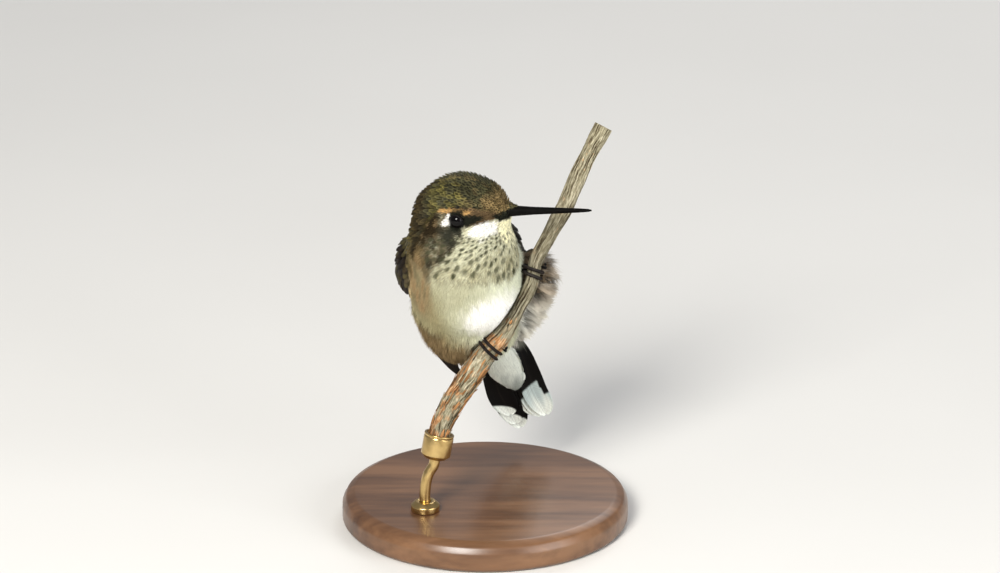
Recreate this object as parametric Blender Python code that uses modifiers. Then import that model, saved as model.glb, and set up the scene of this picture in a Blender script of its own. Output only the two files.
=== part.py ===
"""A perched hummingbird at life size, gripping a short cut twig that a rod holds over a round base.

Run it with: blender --background --python part.py
The solids are modelled in millimetres and turned to metres at the end. +Z is up, the breast faces -Y.
The bird's own frames have x to its left, y to its back or nape, and z towards its crown.
"""

import math

import bmesh
import bpy
from mathutils import Euler, Matrix, Vector

METRES = 0.001           # of one millimetre

# ---- driving dimensions, in millimetres and degrees ----
CLEAR = 0.3              # gap between a piece and the neighbour that is cut to fit it
SEAM = 0.15              # gap of the thin cuts that part one form into named pieces

TRUNK_AT = (-3.6, -0.5, 49.0)
TRUNK_TURN = (15.0, 27.0, -10.0)      # yaw, pitch, roll
HEAD_AT = (-3.8, -4.2, 68.6)
HEAD_TURN = (64.4, -8.9, -9.0)
TAIL_AT = (2.6, 8.8, 36.3)
TAIL_TURN = (15.0, 25.0, -19.0)

GRAIN = 0.8              # voxel size of the fused plumage surface
FLESH_TRIANGLES = 2600

EYE_AT = (5.45, -1.3, -0.2)           # in the head's frame, for the left eye
EYE_RADIUS = 1.85
BILL_HEIGHT = -1.2                    # height of the bill's axis in the head's frame
BILL_REACH = 27.4                     # from the middle of the head to the bill's tip
BILL_ROOT = 7.0

WRIST = (12.6, 1.5, 10.6)             # bend of the folded left wing, in the trunk's frame
WING_INWARD, WING_BACK, WING_DROP = 10.2, 2.4, 40.6
PRIMARIES = 6
PRIMARY_STEP = 1.8                    # distance between neighbouring primaries across the wing
FEATHER_THICK = 0.5
FEATHER_LAYER = 0.22
THIN_SOLVER = "MANIFOLD"              # the exact solver loses thin solids that lie almost together

RECTRIX_LENGTHS = (25.5, 27.0, 27.5, 27.2, 26.0)
RECTRIX_HALF = 2.6

TOE_RADIUS = 0.36
TARSUS_RADIUS = 0.45
CLAW_RADIUS = 0.27
LEFT_GRIP, RIGHT_GRIP = 55.4, 40.4    # heights at which the feet hold the twig

BASE_RADIUS, BASE_HEIGHT = 29.0, 6.0
ROD_RADIUS = 1.1
ROD_AT = (-12.0, -10.6)               # where the rod meets the base
FERRULE_RADIUS = 3.0

# The twig's route, from its top to the cut end in the ferrule: a point and the radius there.
TWIG = (
    ((23.5, 4.3, 82.3), 1.85), ((19.5, 1.9, 75.0), 1.8), ((17.4, 0.4, 70.3), 1.85),
    ((16.1, -0.6, 67.4), 1.75), ((12.5, -2.4, 61.1), 1.6), ((10.5, -3.5, 57.5), 1.45),
    ((9.0, -5.0, 52.1), 1.35), ((7.0, -6.1, 48.3), 1.25), ((4.2, -7.1, 43.4), 1.7),
    ((-0.3, -7.8, 37.9), 2.2), ((-3.4, -8.3, 33.1), 2.3), ((-6.1, -8.7, 29.0), 2.3),
    ((-9.0, -9.4, 22.8), 2.1), ((-9.8, -9.9, 18.3), 2.1),
)


def frame(at, turn):
    """The matrix of a local frame from its place and its yaw, pitch and roll."""
    yaw, pitch, roll = (math.radians(a) for a in turn)
    return Matrix.Translation(Vector(at)) @ Euler((pitch, roll, yaw), "YXZ").to_matrix().to_4x4()


TRUNK = frame(TRUNK_AT, TRUNK_TURN)
HEAD = frame(HEAD_AT, HEAD_TURN)
TAIL = frame(TAIL_AT, TAIL_TURN)


# ---- helpers ----

def clear_scene():
    for obj in list(bpy.data.objects):
        bpy.data.objects.remove(obj, do_unlink=True)


def activate(obj):
    bpy.ops.object.select_all(action="DESELECT")
    obj.select_set(True)
    bpy.context.view_layer.objects.active = obj


def bake_place(obj):
    activate(obj)
    bpy.ops.object.transform_apply(location=True, rotation=True, scale=True)


def apply_modifier(obj, name, kind, **settings):
    change = obj.modifiers.new(name, kind)
    for key, value in settings.items():
        setattr(change, key, value)
    activate(obj)
    bpy.ops.object.modifier_apply(modifier=change.name)


def drop_crumbs(work):
    """Keep only the largest of the bodies that a cut has left in a mesh."""
    work.verts.ensure_lookup_table()
    unseen = set(work.verts)
    islands = []
    while unseen:
        island = []
        front = [unseen.pop()]
        while front:
            vertex = front.pop()
            island.append(vertex)
            for edge in vertex.link_edges:
                other = edge.other_vert(vertex)
                if other in unseen:
                    unseen.remove(other)
                    front.append(other)
        islands.append(island)
    islands.sort(key=len)
    for island in islands[:-1]:
        bmesh.ops.delete(work, geom=island, context="VERTS")


def mend(obj, closer_than=0.0001):
    """Merge points that a cut left almost together, and face everything outwards."""
    work = bmesh.new()
    work.from_mesh(obj.data)
    bmesh.ops.remove_doubles(work, verts=work.verts, dist=closer_than)
    bmesh.ops.dissolve_degenerate(work, edges=work.edges, dist=closer_than)
    drop_crumbs(work)
    bmesh.ops.recalc_face_normals(work, faces=work.faces)
    work.to_mesh(obj.data)
    work.free()


def combine(obj, other, operation, keep=False, solver="EXACT"):
    """Cut obj by another solid, or join the two."""
    for solid in (obj, other):
        apply_modifier(solid, "Flat", "TRIANGULATE")
    apply_modifier(obj, operation.title(), "BOOLEAN", operation=operation, object=other, solver=solver)
    if not keep:
        bpy.data.objects.remove(other, do_unlink=True)


def duplicate(obj, name):
    made = obj.copy()
    made.data = obj.data.copy()
    made.name = name
    bpy.context.scene.collection.objects.link(made)
    return made


def grown(obj, by=CLEAR):
    """A copy whose surface stands farther out by the given distance."""
    made = duplicate(obj, obj.name + "_cutter")
    apply_modifier(made, "Grow", "DISPLACE", strength=by, mid_level=0.0)
    return made


def fit_to(obj, neighbour, solver="EXACT"):
    """Take the neighbour and its clearance out of obj."""
    combine(obj, grown(neighbour), "DIFFERENCE", solver=solver)


def half_of(obj, name, place, above, gap=SEAM):
    """The part of obj above or below the level z = 0 of a frame, closed over the cut."""
    made = duplicate(obj, name)
    side = 1 if above else -1
    normal = place.to_3x3() @ Vector((0, 0, side))
    point = place.translation + normal * gap / 2
    work = bmesh.new()
    work.from_mesh(made.data)
    everything = work.verts[:] + work.edges[:] + work.faces[:]
    bmesh.ops.bisect_plane(work, geom=everything, dist=1e-6, plane_co=point, plane_no=normal, clear_inner=True)
    rim = [edge for edge in work.edges if edge.is_boundary]
    bmesh.ops.holes_fill(work, edges=rim, sides=0)
    work.to_mesh(made.data)
    work.free()
    return made


def tube(name, points, radii, resolution=2, steps=1, kind="POLY"):
    """A round tube through points in millimetres, with its own radius at each point."""
    data = bpy.data.curves.new(name, "CURVE")
    data.dimensions = "3D"
    data.bevel_depth = 1.0
    data.bevel_resolution = resolution
    data.resolution_u = steps
    data.use_fill_caps = True
    spline = data.splines.new(kind)
    route = spline.points if kind == "POLY" else spline.bezier_points
    route.add(len(points) - 1)
    for knot, point, radius in zip(route, points, radii):
        knot.radius = radius
        if kind == "POLY":
            knot.co = (*point, 1)
        else:
            knot.co = point
            knot.handle_left_type = "AUTO"
            knot.handle_right_type = "AUTO"
    curve = bpy.data.objects.new(name + "_route", data)
    bpy.context.scene.collection.objects.link(curve)
    graph = bpy.context.evaluated_depsgraph_get()
    mesh = bpy.data.meshes.new_from_object(curve.evaluated_get(graph))
    obj = bpy.data.objects.new(name, mesh)
    bpy.context.scene.collection.objects.link(obj)
    bpy.data.objects.remove(curve, do_unlink=True)
    mend(obj)
    return obj


def ellipsoid(name, place, centre, radii, segments=32, rings=16):
    """An ellipsoid given in one of the local frames."""
    bpy.ops.mesh.primitive_uv_sphere_add(segments=segments, ring_count=rings, radius=1.0)
    obj = bpy.context.object
    obj.name = name
    obj.matrix_world = place @ Matrix.Translation(Vector(centre)) @ Matrix.Diagonal((*radii, 1))
    bake_place(obj)
    return obj


def vane(name, place, across, along, shape, over=None, stand_off=0.0):
    """A feather blade: a sheet whose points are shape(s, u), s across and u from root to tip."""
    bpy.ops.mesh.primitive_grid_add(x_subdivisions=across, y_subdivisions=along, size=2)
    obj = bpy.context.object
    obj.name = name
    for vertex in obj.data.vertices:
        closer_to_tip = 1 - (1 - (vertex.co.y + 1) / 2) ** 1.5
        vertex.co = place @ Vector(shape(vertex.co.x, closer_to_tip))
    if over:
        apply_modifier(obj, "Lie", "SHRINKWRAP", target=over, wrap_method="NEAREST_SURFACEPOINT",
                       wrap_mode="OUTSIDE", offset=stand_off)
    apply_modifier(obj, "Thickness", "SOLIDIFY", thickness=FEATHER_THICK, offset=0.0)
    mend(obj)
    return obj


def blade_outline(u, round_from, root):
    """Half width of a feather as a share of its widest, u from root to tip."""
    if u < round_from:
        return root + (1 - root) * math.sin(math.pi / 2 * u / round_from)
    return math.sqrt(1 - 0.96 * ((u - round_from) / (1 - round_from)) ** 2)


def union(name, pieces, solver="EXACT"):
    whole = pieces[0]
    for piece in pieces[1:]:
        combine(whole, piece, "UNION", solver=solver)
    whole.name = name
    return whole


def turned(name, profile, at, steps=40, ring=False):
    """A turned solid from (radius, height) pairs that run down the outside; a ring's profile is closed."""
    mesh = bpy.data.meshes.new(name)
    points = [(radius, 0, height) for radius, height in profile]
    last = len(points) if ring else len(points) - 1
    mesh.from_pydata(points, [(i, (i + 1) % len(points)) for i in range(last)], [])
    obj = bpy.data.objects.new(name, mesh)
    bpy.context.scene.collection.objects.link(obj)
    apply_modifier(obj, "Turn", "SCREW", steps=steps, render_steps=steps, use_merge_vertices=True,
                   merge_threshold=0.0001)
    obj.location = Vector(at)
    bake_place(obj)
    mend(obj)
    return obj


# ---- plumage ----

TRUNK_FORMS = (
    ((0, 0, 1), (11.7, 11.0, 16.0)),          # rib cage and belly
    ((0, -2.6, 4.5), (11.0, 10.0, 11.0)),     # breast
    ((0, -3.0, 9.5), (10.2, 8.8, 8.0)),       # upper breast
    ((0, -2.2, -6), (10.6, 9.2, 9.0)),        # lower belly
    ((0, 3, 6), (11.8, 8.5, 9.0)),            # shoulders
    ((2.2, 2.5, -10), (7.4, 6.8, 9.0)),       # rump
    ((12.8, -1.0, 1.5), (5.5, 5.0, 6.5)),     # left flank, fluffed over the raised leg
    ((10.8, -0.5, -5.0), (5.4, 5.2, 7.0)),
)
HEAD_FORMS = (
    ((0, 1, 0.2), (7.3, 8.4, 6.8)),           # brain case
    ((0, -2.5, 0.6), (5.6, 6.6, 5.2)),        # brow
    ((0, -5.5, -1.0), (3.3, 5.0, 3.0)),       # root of the bill
    ((0, -4.0, -3.4), (3.8, 5.4, 3.2)),       # chin
    ((3.2, -0.5, -2.4), (4.0, 5.5, 4.6)),     # cheeks
    ((-3.2, -0.5, -2.4), (4.0, 5.5, 4.6)),
    ((0, 5, -3), (8.0, 7.0, 8.0)),            # nape
)
NECK_FORMS = (
    ((-1.0, 1.0, -9), (11.5, 10.0, 8.5)),
    ((1.5, -1.0, -10), (10.5, 9.5, 8.0)),
)
LEFT_THIGH = ((12.2, -1.0, -1.5), (5.9, 5.6, 9.6))
RIGHT_THIGH = ((-2.6, -6.2, -11.2), (5.6, 5.6, 7.6))
NECK_TOP = frame((-4.0, -4.6, 63.2), (64.4, -4.0, -6.0))
NECK_FOOT = frame((-4.0, -5.5, 57.6), (15.0, 13.0, -8.0))


def fused_body():
    """One closed plumage surface over all the forms of trunk, neck and head."""
    upright_neck = Matrix.Translation(HEAD.translation)
    groups = ((TRUNK, TRUNK_FORMS), (HEAD, HEAD_FORMS), (upright_neck, NECK_FORMS))
    pieces = [ellipsoid("form", place, *form) for place, forms in groups for form in forms]
    bpy.ops.object.select_all(action="DESELECT")
    for piece in pieces:
        piece.select_set(True)
    bpy.context.view_layer.objects.active = pieces[0]
    bpy.ops.object.join()
    body = bpy.context.object
    apply_modifier(body, "Fuse", "REMESH", mode="VOXEL", voxel_size=GRAIN)
    apply_modifier(body, "Soften", "SMOOTH", factor=0.5, iterations=30)
    triangles = sum(len(face.vertices) - 2 for face in body.data.polygons)
    apply_modifier(body, "Thin", "DECIMATE", ratio=FLESH_TRIANGLES / triangles)
    mend(body)
    return body


def part_with(obj, name, place, centre, radii):
    """Take the region inside an ellipsoid out of obj as a solid of its own."""
    region = ellipsoid("region", place, centre, radii)
    piece = duplicate(obj, name)
    combine(piece, region, "INTERSECT", keep=True, solver=THIN_SOLVER)
    combine(obj, grown(region, SEAM), "DIFFERENCE", solver=THIN_SOLVER)
    bpy.data.objects.remove(region, do_unlink=True)
    return piece


def divided_body(body):
    """Head, neck, trunk and feathered thighs, parted by thin cuts."""
    thighs = [part_with(body, "leg_left_thigh", TRUNK, *LEFT_THIGH),
              part_with(body, "leg_right_thigh", TRUNK, *RIGHT_THIGH)]
    head = half_of(body, "head", NECK_TOP, above=True)
    below = half_of(body, "below_head", NECK_TOP, above=False)
    neck = half_of(below, "neck", NECK_FOOT, above=True)
    trunk = half_of(below, "trunk", NECK_FOOT, above=False)
    for whole in (body, below):
        bpy.data.objects.remove(whole, do_unlink=True)
    return [head, neck, trunk] + thighs


# ---- eyes and bill ----

def eye(side_name, side):
    centre = (side * EYE_AT[0], EYE_AT[1], EYE_AT[2])
    return ellipsoid("eye_" + side_name, HEAD, centre, (EYE_RADIUS,) * 3, segments=14, rings=8)


BILL_STATIONS = ((BILL_ROOT, 1.6), (11.0, 1.3), (13.0, 1.02), (16.5, 0.78),
                 (20.5, 0.62), (24.5, 0.45), (26.6, 0.34), (BILL_REACH, 0.25))


def bill():
    """The long straight bill, parted along the gape into its two mandibles."""
    points = [HEAD @ Vector((0, -reach, BILL_HEIGHT)) for reach, _ in BILL_STATIONS]
    whole = tube("bill", points, [radius for _, radius in BILL_STATIONS], resolution=3)
    gape = HEAD @ Matrix.Translation(Vector((0, 0, BILL_HEIGHT - 0.1)))
    upper = half_of(whole, "bill_upper", gape, above=True, gap=0.1)
    lower = half_of(whole, "bill_lower", gape, above=False, gap=0.1)
    bpy.data.objects.remove(whole, do_unlink=True)
    return [upper, lower]


# ---- wings and tail ----

def wing_edge(t, side):
    """A point of the folded wing's front edge, t from the wrist to the tip, in the trunk's frame."""
    return Vector((side * (WRIST[0] - WING_INWARD * t ** 1.9),
                   WRIST[1] + WING_BACK * (1 - (1 - t) ** 2),
                   WRIST[2] - WING_DROP * t))


def primary(body, side, number):
    """One flight feather of the folded wing; number 0 is the outermost and longest."""
    start = 0.06 + 0.035 * number
    reach = 1 - 0.085 * number - 0.006 * number ** 2
    half_width = 1.3 + 0.16 * number
    stand_off = 0.4 + FEATHER_THICK / 2 + FEATHER_LAYER * number

    def shape(s, u):
        t = start + (reach - start) * u
        along_chord = (1.0 + PRIMARY_STEP * number) * (1 - 0.5 * t)
        along_chord += s * half_width * blade_outline(u, 0.7, 0.5)
        across = Vector((-side * (0.7 + 0.3 * t), 0.75, 0)).normalized()
        outward = Vector((side, 0.1, 0)).normalized()
        return wing_edge(t, side) + across * along_chord + outward * FEATHER_LAYER * number

    return vane("primary", TRUNK, 2, 10, shape, over=body, stand_off=stand_off)


def wing(body, side_name, side):
    """The folded wing: the arm under its coverts and the long primaries, parted below the coverts."""
    arm = ellipsoid("arm", TRUNK, (side * 9.2, 5.4, 3.8), (4.0, 6.0, 8.2), segments=24, rings=14)
    whole = union("wing_" + side_name, [arm] + [primary(body, side, i) for i in range(PRIMARIES)],
                  solver=THIN_SOLVER)
    fit_to(whole, body, solver=THIN_SOLVER)
    coverts_end = TRUNK @ frame((0, 0, 0.5), (0, -12.0, 0))
    parts = [half_of(whole, whole.name + "_arm", coverts_end, above=True),
             half_of(whole, whole.name + "_primaries", coverts_end, above=False)]
    bpy.data.objects.remove(whole, do_unlink=True)
    return parts


def rectrix(side, number):
    """One tail feather; number 0 is the inmost. The outer ones lie lower, towards the belly side."""
    length = RECTRIX_LENGTHS[number]
    outward = number / (len(RECTRIX_LENGTHS) - 1)
    layer = 0.55 - FEATHER_LAYER * (number + 0.5 * (side > 0))

    def shape(s, u):
        middle = 0.35 + outward * (1.25 + 8.6 * u - 6.8 * u * u)
        half = RECTRIX_HALF * blade_outline(u, 0.78, 0.4)
        return side * middle + s * half, layer - 0.35 * (s * s), -length * u

    return vane("rectrix", TAIL, 2, 8, shape)


def tail(body):
    """The fan of ten tail feathers."""
    feathers = [rectrix(side, number) for number in range(len(RECTRIX_LENGTHS)) for side in (1, -1)]
    fan = union("tail", feathers, solver=THIN_SOLVER)
    fit_to(fan, body, solver=THIN_SOLVER)
    return fan


def undertail_coverts(body, fan):
    """The pale wedge of soft feathers under the root of the tail."""
    wedge = ellipsoid("undertail_coverts", TAIL, (-0.8, -2.8, -7.0), (3.8, 1.8, 9.8), segments=20, rings=14)
    fit_to(wedge, body)
    fit_to(wedge, fan, solver=THIN_SOLVER)
    return wedge


# ---- twig, feet and claws ----

def twig(extra=0.0):
    points = [point for point, _ in TWIG]
    radii = [radius + extra for _, radius in TWIG]
    return tube("perch_twig", points, radii, resolution=3, steps=2, kind="BEZIER")


def grip_station(height):
    """The twig's middle, direction and radius at a height."""
    for (upper, upper_radius), (lower, lower_radius) in zip(TWIG, TWIG[1:]):
        if lower[2] <= height <= upper[2]:
            share = (height - lower[2]) / (upper[2] - lower[2])
            middle = Vector(lower).lerp(Vector(upper), share)
            radius = lower_radius + (upper_radius - lower_radius) * share
            return middle, (Vector(upper) - Vector(lower)).normalized(), radius
    raise ValueError("no twig at this height")


class Grip:
    """Places round the twig: an angle from its front towards its lower right side, and a distance along it."""

    def __init__(self, height):
        self.middle, self.along, self.radius = grip_station(height)
        front = Vector((0, -1, 0.35))
        self.front = (front - self.along * front.dot(self.along)).normalized()
        self.side = self.along.cross(self.front)

    def point(self, angle, height, lift):
        turn = math.radians(angle)
        outward = self.front * math.cos(turn) + self.side * math.sin(turn)
        return self.middle + self.along * height + outward * (self.radius + lift)


TOE_LIFT = 0.58                   # from the bark to the middle of a toe that grips it
PALM = -138.0                     # angle of the palm, behind the twig on the side of the belly
FRONT_TOES = (                    # distance along the twig at the root and the tip of each front toe
    (0.9, 1.25), (0.0, -0.35), (-0.9, -1.7),
)
TOE_BENDS = (                     # share of the way from the palm to the toe's end, and lift off the bark
    (0.0, 1.0), (0.24, 1.15), (0.42, 0.85), (0.58, 0.62), (0.72, TOE_LIFT), (0.86, TOE_LIFT), (1.0, TOE_LIFT),
)
TOE_END = 62.0
HALLUX_END = 88.0


def toe_route(grip, start, end, root, tip):
    return [grip.point(start + (end - start) * share, root + (tip - root) * share, lift)
            for share, lift in TOE_BENDS]


def foot_tubes(grip, leg_end, extra=0.0):
    """Tarsus, three front toes and the hind toe of one foot, as tubes that all meet in the palm."""
    toe = [TOE_RADIUS + extra] * len(TOE_BENDS)
    tubes = [tube("toe", toe_route(grip, PALM, TOE_END, *ends), toe, resolution=1) for ends in FRONT_TOES]
    tubes.append(tube("toe", toe_route(grip, PALM, HALLUX_END - 360, 0.2, 0.6), toe, resolution=1))
    palm = grip.point(PALM, 0, 1.0)
    leg = [palm, palm.lerp(leg_end, 0.5), leg_end]
    tubes.append(tube("tarsus", leg, [TARSUS_RADIUS + 0.25 + extra] + [TARSUS_RADIUS + extra] * 2))
    return tubes


def claw(name, grip, angle, turn, height, drift):
    """A curved claw that carries a toe on round the twig and comes down to the bark."""
    shares = (0.0, 0.33, 0.66, 1.0)
    points = [grip.point(angle + turn * share, height + drift * share,
                         TOE_LIFT - 0.3 * share * share)
              for share in shares]
    radii = [CLAW_RADIUS * (1 - 0.72 * share) for share in shares]
    return tube(name, points, radii, resolution=1)


def claws(side_name, grip):
    step = math.degrees(0.2 / (grip.radius + TOE_LIFT))
    reach = math.degrees(1.5 / (grip.radius + TOE_LIFT))
    made = []
    for toe_name, (root, tip) in zip(("inner", "middle", "outer"), FRONT_TOES):
        made.append(claw("claw_%s_%s" % (side_name, toe_name), grip, TOE_END + step, reach, tip, tip * 0.12))
    made.append(claw("claw_%s_hind" % side_name, grip, HALLUX_END - step, -reach, 0.6, 0.1))
    return made


# ---- stand ----

def stand():
    """A turned base, a bent rod with a collar at its foot, and the ferrule that holds the twig's end."""
    base = turned("stand_base", ((0, BASE_HEIGHT), (BASE_RADIUS - 2.4, BASE_HEIGHT),
                                 (BASE_RADIUS - 0.8, BASE_HEIGHT - 0.7), (BASE_RADIUS, BASE_HEIGHT - 2.2),
                                 (BASE_RADIUS, 0.7), (BASE_RADIUS - 0.7, 0), (0, 0)), (0, 0, 0))
    end = Vector(TWIG[-1][0])
    along = (Vector(TWIG[-2][0]) - end).normalized()
    under = end - along * 1.2
    ferrule = tube("stand_ferrule", (under, under + along * 0.8, under + along * 5.2),
                   (FERRULE_RADIUS - 0.8, FERRULE_RADIUS, FERRULE_RADIUS), resolution=6)
    foot = Vector((*ROD_AT, BASE_HEIGHT + CLEAR))
    knee = Vector((*ROD_AT, 10.5))
    top = under - along * 0.2
    rod = tube("stand_rod", (foot, knee, knee.lerp(top, 0.5) - Vector((0.35, 0.1, 0)), top - along * 1.2, top),
               (ROD_RADIUS,) * 5, resolution=3, steps=2, kind="BEZIER")
    inner = ROD_RADIUS + CLEAR
    collar = turned("stand_collar", ((inner, 2.0), (inner + 1.0, 2.0), (inner + 1.8, 1.2), (inner + 1.8, 0),
                                     (inner, 0)), (*ROD_AT, BASE_HEIGHT + 0.1), steps=20, ring=True)
    return [base, ferrule, rod, collar]


# ---- finish ----

FINISHES = {                       # colour, roughness, metallic
    "crown": ((0.115, 0.105, 0.045), 0.6, 0.0),
    "breast": ((0.52, 0.49, 0.38), 0.85, 0.0),
    "flight": ((0.035, 0.032, 0.030), 0.5, 0.0),
    "undertail": ((0.62, 0.63, 0.60), 0.85, 0.0),
    "horn": ((0.012, 0.011, 0.012), 0.35, 0.0),
    "eye": ((0.010, 0.007, 0.006), 0.05, 0.0),
    "skin": ((0.035, 0.030, 0.028), 0.6, 0.0),
    "bark": ((0.34, 0.27, 0.18), 0.85, 0.0),
    "brass": ((0.62, 0.44, 0.17), 0.28, 1.0),
    "wood": ((0.085, 0.045, 0.022), 0.4, 0.0),
}
FINISH_OF = {
    "head": "crown", "neck": "crown", "trunk": "breast", "leg_left_thigh": "breast",
    "leg_right_thigh": "breast", "wing": "flight", "tail": "flight", "undertail_coverts": "undertail",
    "bill": "horn", "claw": "horn", "eye": "eye", "leg_left_foot": "skin", "leg_right_foot": "skin",
    "perch": "bark", "stand_base": "wood", "stand": "brass",
}


def material(name):
    made = bpy.data.materials.get(name)
    if made is None:
        colour, roughness, metallic = FINISHES[name]
        made = bpy.data.materials.new(name)
        made.use_nodes = True
        shader = made.node_tree.nodes["Principled BSDF"]
        shader.inputs["Base Color"].default_value = (*colour, 1)
        shader.inputs["Roughness"].default_value = roughness
        shader.inputs["Metallic"].default_value = metallic
    return made


# Most triangles that a node keeps; cuts leave many that its shape doesn't need.
BUDGETS = {"trunk": 1450, "head": 780, "neck": 330, "leg_left_thigh": 400, "leg_right_thigh": 260,
           "tail": 980, "undertail_coverts": 220, "wing": 560}


def is_closed(obj):
    work = bmesh.new()
    work.from_mesh(obj.data)
    closed = all(edge.is_manifold for edge in work.edges)
    work.free()
    return closed


def thin_out(obj):
    """Collapse the triangles beyond a node's budget, more gently where that would pinch an edge open."""
    budget = [count for key, count in BUDGETS.items() if obj.name.startswith(key)]
    whole = obj.data
    triangles = sum(len(face.vertices) - 2 for face in whole.polygons)
    if not budget or triangles <= budget[0]:
        return
    for easing in range(8):
        obj.data = whole.copy()
        kept = budget[0] * (1 + 0.04 * easing)
        apply_modifier(obj, "Thin", "DECIMATE", ratio=min(1.0, kept / triangles))
        if is_closed(obj):
            return


def finish(parts):
    """Give each part its material and smooth shading, and gather the parts in one collection."""
    gathered = bpy.data.collections.new("hummingbird")
    bpy.context.scene.collection.children.link(gathered)
    for obj in parts:
        mend(obj)
        thin_out(obj)
        obj.data.transform(Matrix.Scale(METRES, 4))
        keys = [key for key in FINISH_OF if obj.name.startswith(key)]
        obj.data.materials.clear()
        obj.data.materials.append(material(FINISH_OF[max(keys, key=len)]))
        obj.data.shade_smooth()
        obj.data.set_sharp_from_angle(angle=math.radians(40))
        for owner in list(obj.users_collection):
            owner.objects.unlink(obj)
        gathered.objects.link(obj)


def main():
    clear_scene()
    body = fused_body()
    parts = [tail(body)]
    parts.append(undertail_coverts(body, parts[0]))
    for side_name, side in (("left", 1), ("right", -1)):
        parts += wing(body, side_name, side)

    perch = twig()
    combine(body, twig(CLEAR), "DIFFERENCE")
    legs = (("left", LEFT_GRIP, TRUNK @ Vector((11.5, -2.0, 0.5))),
            ("right", RIGHT_GRIP, TRUNK @ Vector((-2.0, -5.0, -8.0))))
    for side_name, height, leg_end in legs:
        grip = Grip(height)
        parts.append(union("leg_%s_foot" % side_name, foot_tubes(grip, leg_end), THIN_SOLVER))
        parts += claws(side_name, grip)
        for cutter in foot_tubes(grip, leg_end, CLEAR):
            combine(body, cutter, "DIFFERENCE", solver=THIN_SOLVER)

    beak = bill()
    for half in beak:
        fit_to(half, body)
    parts += beak
    for side_name, side in (("left", 1), ("right", -1)):
        ball = eye(side_name, side)
        combine(body, grown(ball, 0.2), "DIFFERENCE")
        parts.append(ball)
    parts += divided_body(body)

    base, ferrule, rod, collar = stand()
    combine(ferrule, twig(CLEAR), "DIFFERENCE")
    parts += [perch, base, ferrule, rod, collar]
    finish(parts)


main()
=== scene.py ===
# %% [markdown]
# # A perched hummingbird
# This lesson dresses a plain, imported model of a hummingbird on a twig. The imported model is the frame: it
# says where every piece is, and it never moves. Each step adds one piece of the real bird, from the skin
# up to the last barbs of its fluffed flank, and then the twig and the stand.

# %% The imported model
import math

import bpy
import numpy as np
from mathutils import Euler, Matrix, Vector
from mathutils.bvhtree import BVHTree
from mathutils.kdtree import KDTree


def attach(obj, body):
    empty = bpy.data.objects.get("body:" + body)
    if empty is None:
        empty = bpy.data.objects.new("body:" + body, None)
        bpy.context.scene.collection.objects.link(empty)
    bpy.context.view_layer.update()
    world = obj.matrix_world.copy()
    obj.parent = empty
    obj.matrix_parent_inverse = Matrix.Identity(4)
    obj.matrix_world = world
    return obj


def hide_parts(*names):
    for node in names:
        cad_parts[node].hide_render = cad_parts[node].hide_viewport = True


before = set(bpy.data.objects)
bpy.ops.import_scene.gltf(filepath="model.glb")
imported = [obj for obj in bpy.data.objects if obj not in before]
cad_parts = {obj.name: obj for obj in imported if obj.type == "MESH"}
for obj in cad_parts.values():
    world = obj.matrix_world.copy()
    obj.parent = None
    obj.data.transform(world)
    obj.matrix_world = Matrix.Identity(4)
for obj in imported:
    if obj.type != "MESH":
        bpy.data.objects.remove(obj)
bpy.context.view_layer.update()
MM = 0.001

# %% [markdown]
# A bird is easier to shape in its own directions than in the room's. Each of these frames has x towards
# the bird's left, y towards its back and z towards its crown. Places in them are in millimetres.


# %% The bird's own frames
def bird_frame(at, turn):
    """A frame from its place in millimetres and its yaw, pitch and roll in degrees."""
    yaw, pitch, roll = (math.radians(angle) for angle in turn)
    return Matrix.Translation(Vector(at) * MM) @ Euler((pitch, roll, yaw), "YXZ").to_matrix().to_4x4()


HEAD = bird_frame((-3.8, -4.2, 68.6), (64.4, -8.9, -9.0))
TRUNK = bird_frame((-3.6, -0.5, 49.0), (15.0, 27.0, -10.0))
TAIL = bird_frame((2.6, 8.8, 36.3), (15.0, 25.0, -19.0))


def seen_from(place, points):
    """Points of the room in a frame's own millimetres."""
    return (points - np.array(place.translation)) @ np.array(place.to_3x3()) / MM


def put_in_room(place, points):
    """Points in a frame's millimetres, in the room's metres."""
    return np.asarray(points, float) * MM @ np.array(place.to_3x3()).T + np.array(place.translation)


def unit(vectors):
    return vectors / np.maximum(np.linalg.norm(vectors, axis=-1, keepdims=True), 1e-12)


def ramp(value, low, high):
    """0 up to low, 1 from high on, and a smooth rise between them. It falls where low is the larger."""
    share = np.clip((value - low) / (high - low), 0, 1)
    return share * share * (3 - 2 * share)


origins = [tuple(round(c / MM, 1) for c in f.translation) for f in (HEAD, TRUNK, TAIL)]
print("head, trunk and tail frames are at", origins)

# %% [markdown]
# Every modelling step selects something, changes it and applies the change. These few helpers keep that
# safe: nothing stays selected from the step before.


# %% Helpers for modelling
def select_only(*objects):
    bpy.ops.object.select_all(action="DESELECT")
    for obj in objects:
        obj.select_set(True)
    bpy.context.view_layer.objects.active = objects[0]


def apply_modifier(obj, kind, **settings):
    change = obj.modifiers.new(kind.title(), kind)
    for key, value in settings.items():
        setattr(change, key, value)
    select_only(obj)
    bpy.ops.object.modifier_apply(modifier=change.name)


def settle(obj):
    """Put the object's place into its mesh, so that the object sits at the origin."""
    select_only(obj)
    bpy.ops.object.transform_apply(location=True, rotation=True, scale=True)


def copy_of_nodes(name, nodes):
    """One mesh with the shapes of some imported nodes, with their loose triangles merged."""
    made = []
    for node in nodes:
        obj = bpy.data.objects.new(name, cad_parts[node].data.copy())
        bpy.context.scene.collection.objects.link(obj)
        made.append(obj)
    select_only(*made)
    if len(made) > 1:
        bpy.ops.object.join()
    whole = bpy.context.object
    whole.name = name
    whole.data.name = name
    whole.data.materials.clear()
    apply_modifier(whole, "WELD", merge_threshold=1e-6)
    return whole


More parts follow.
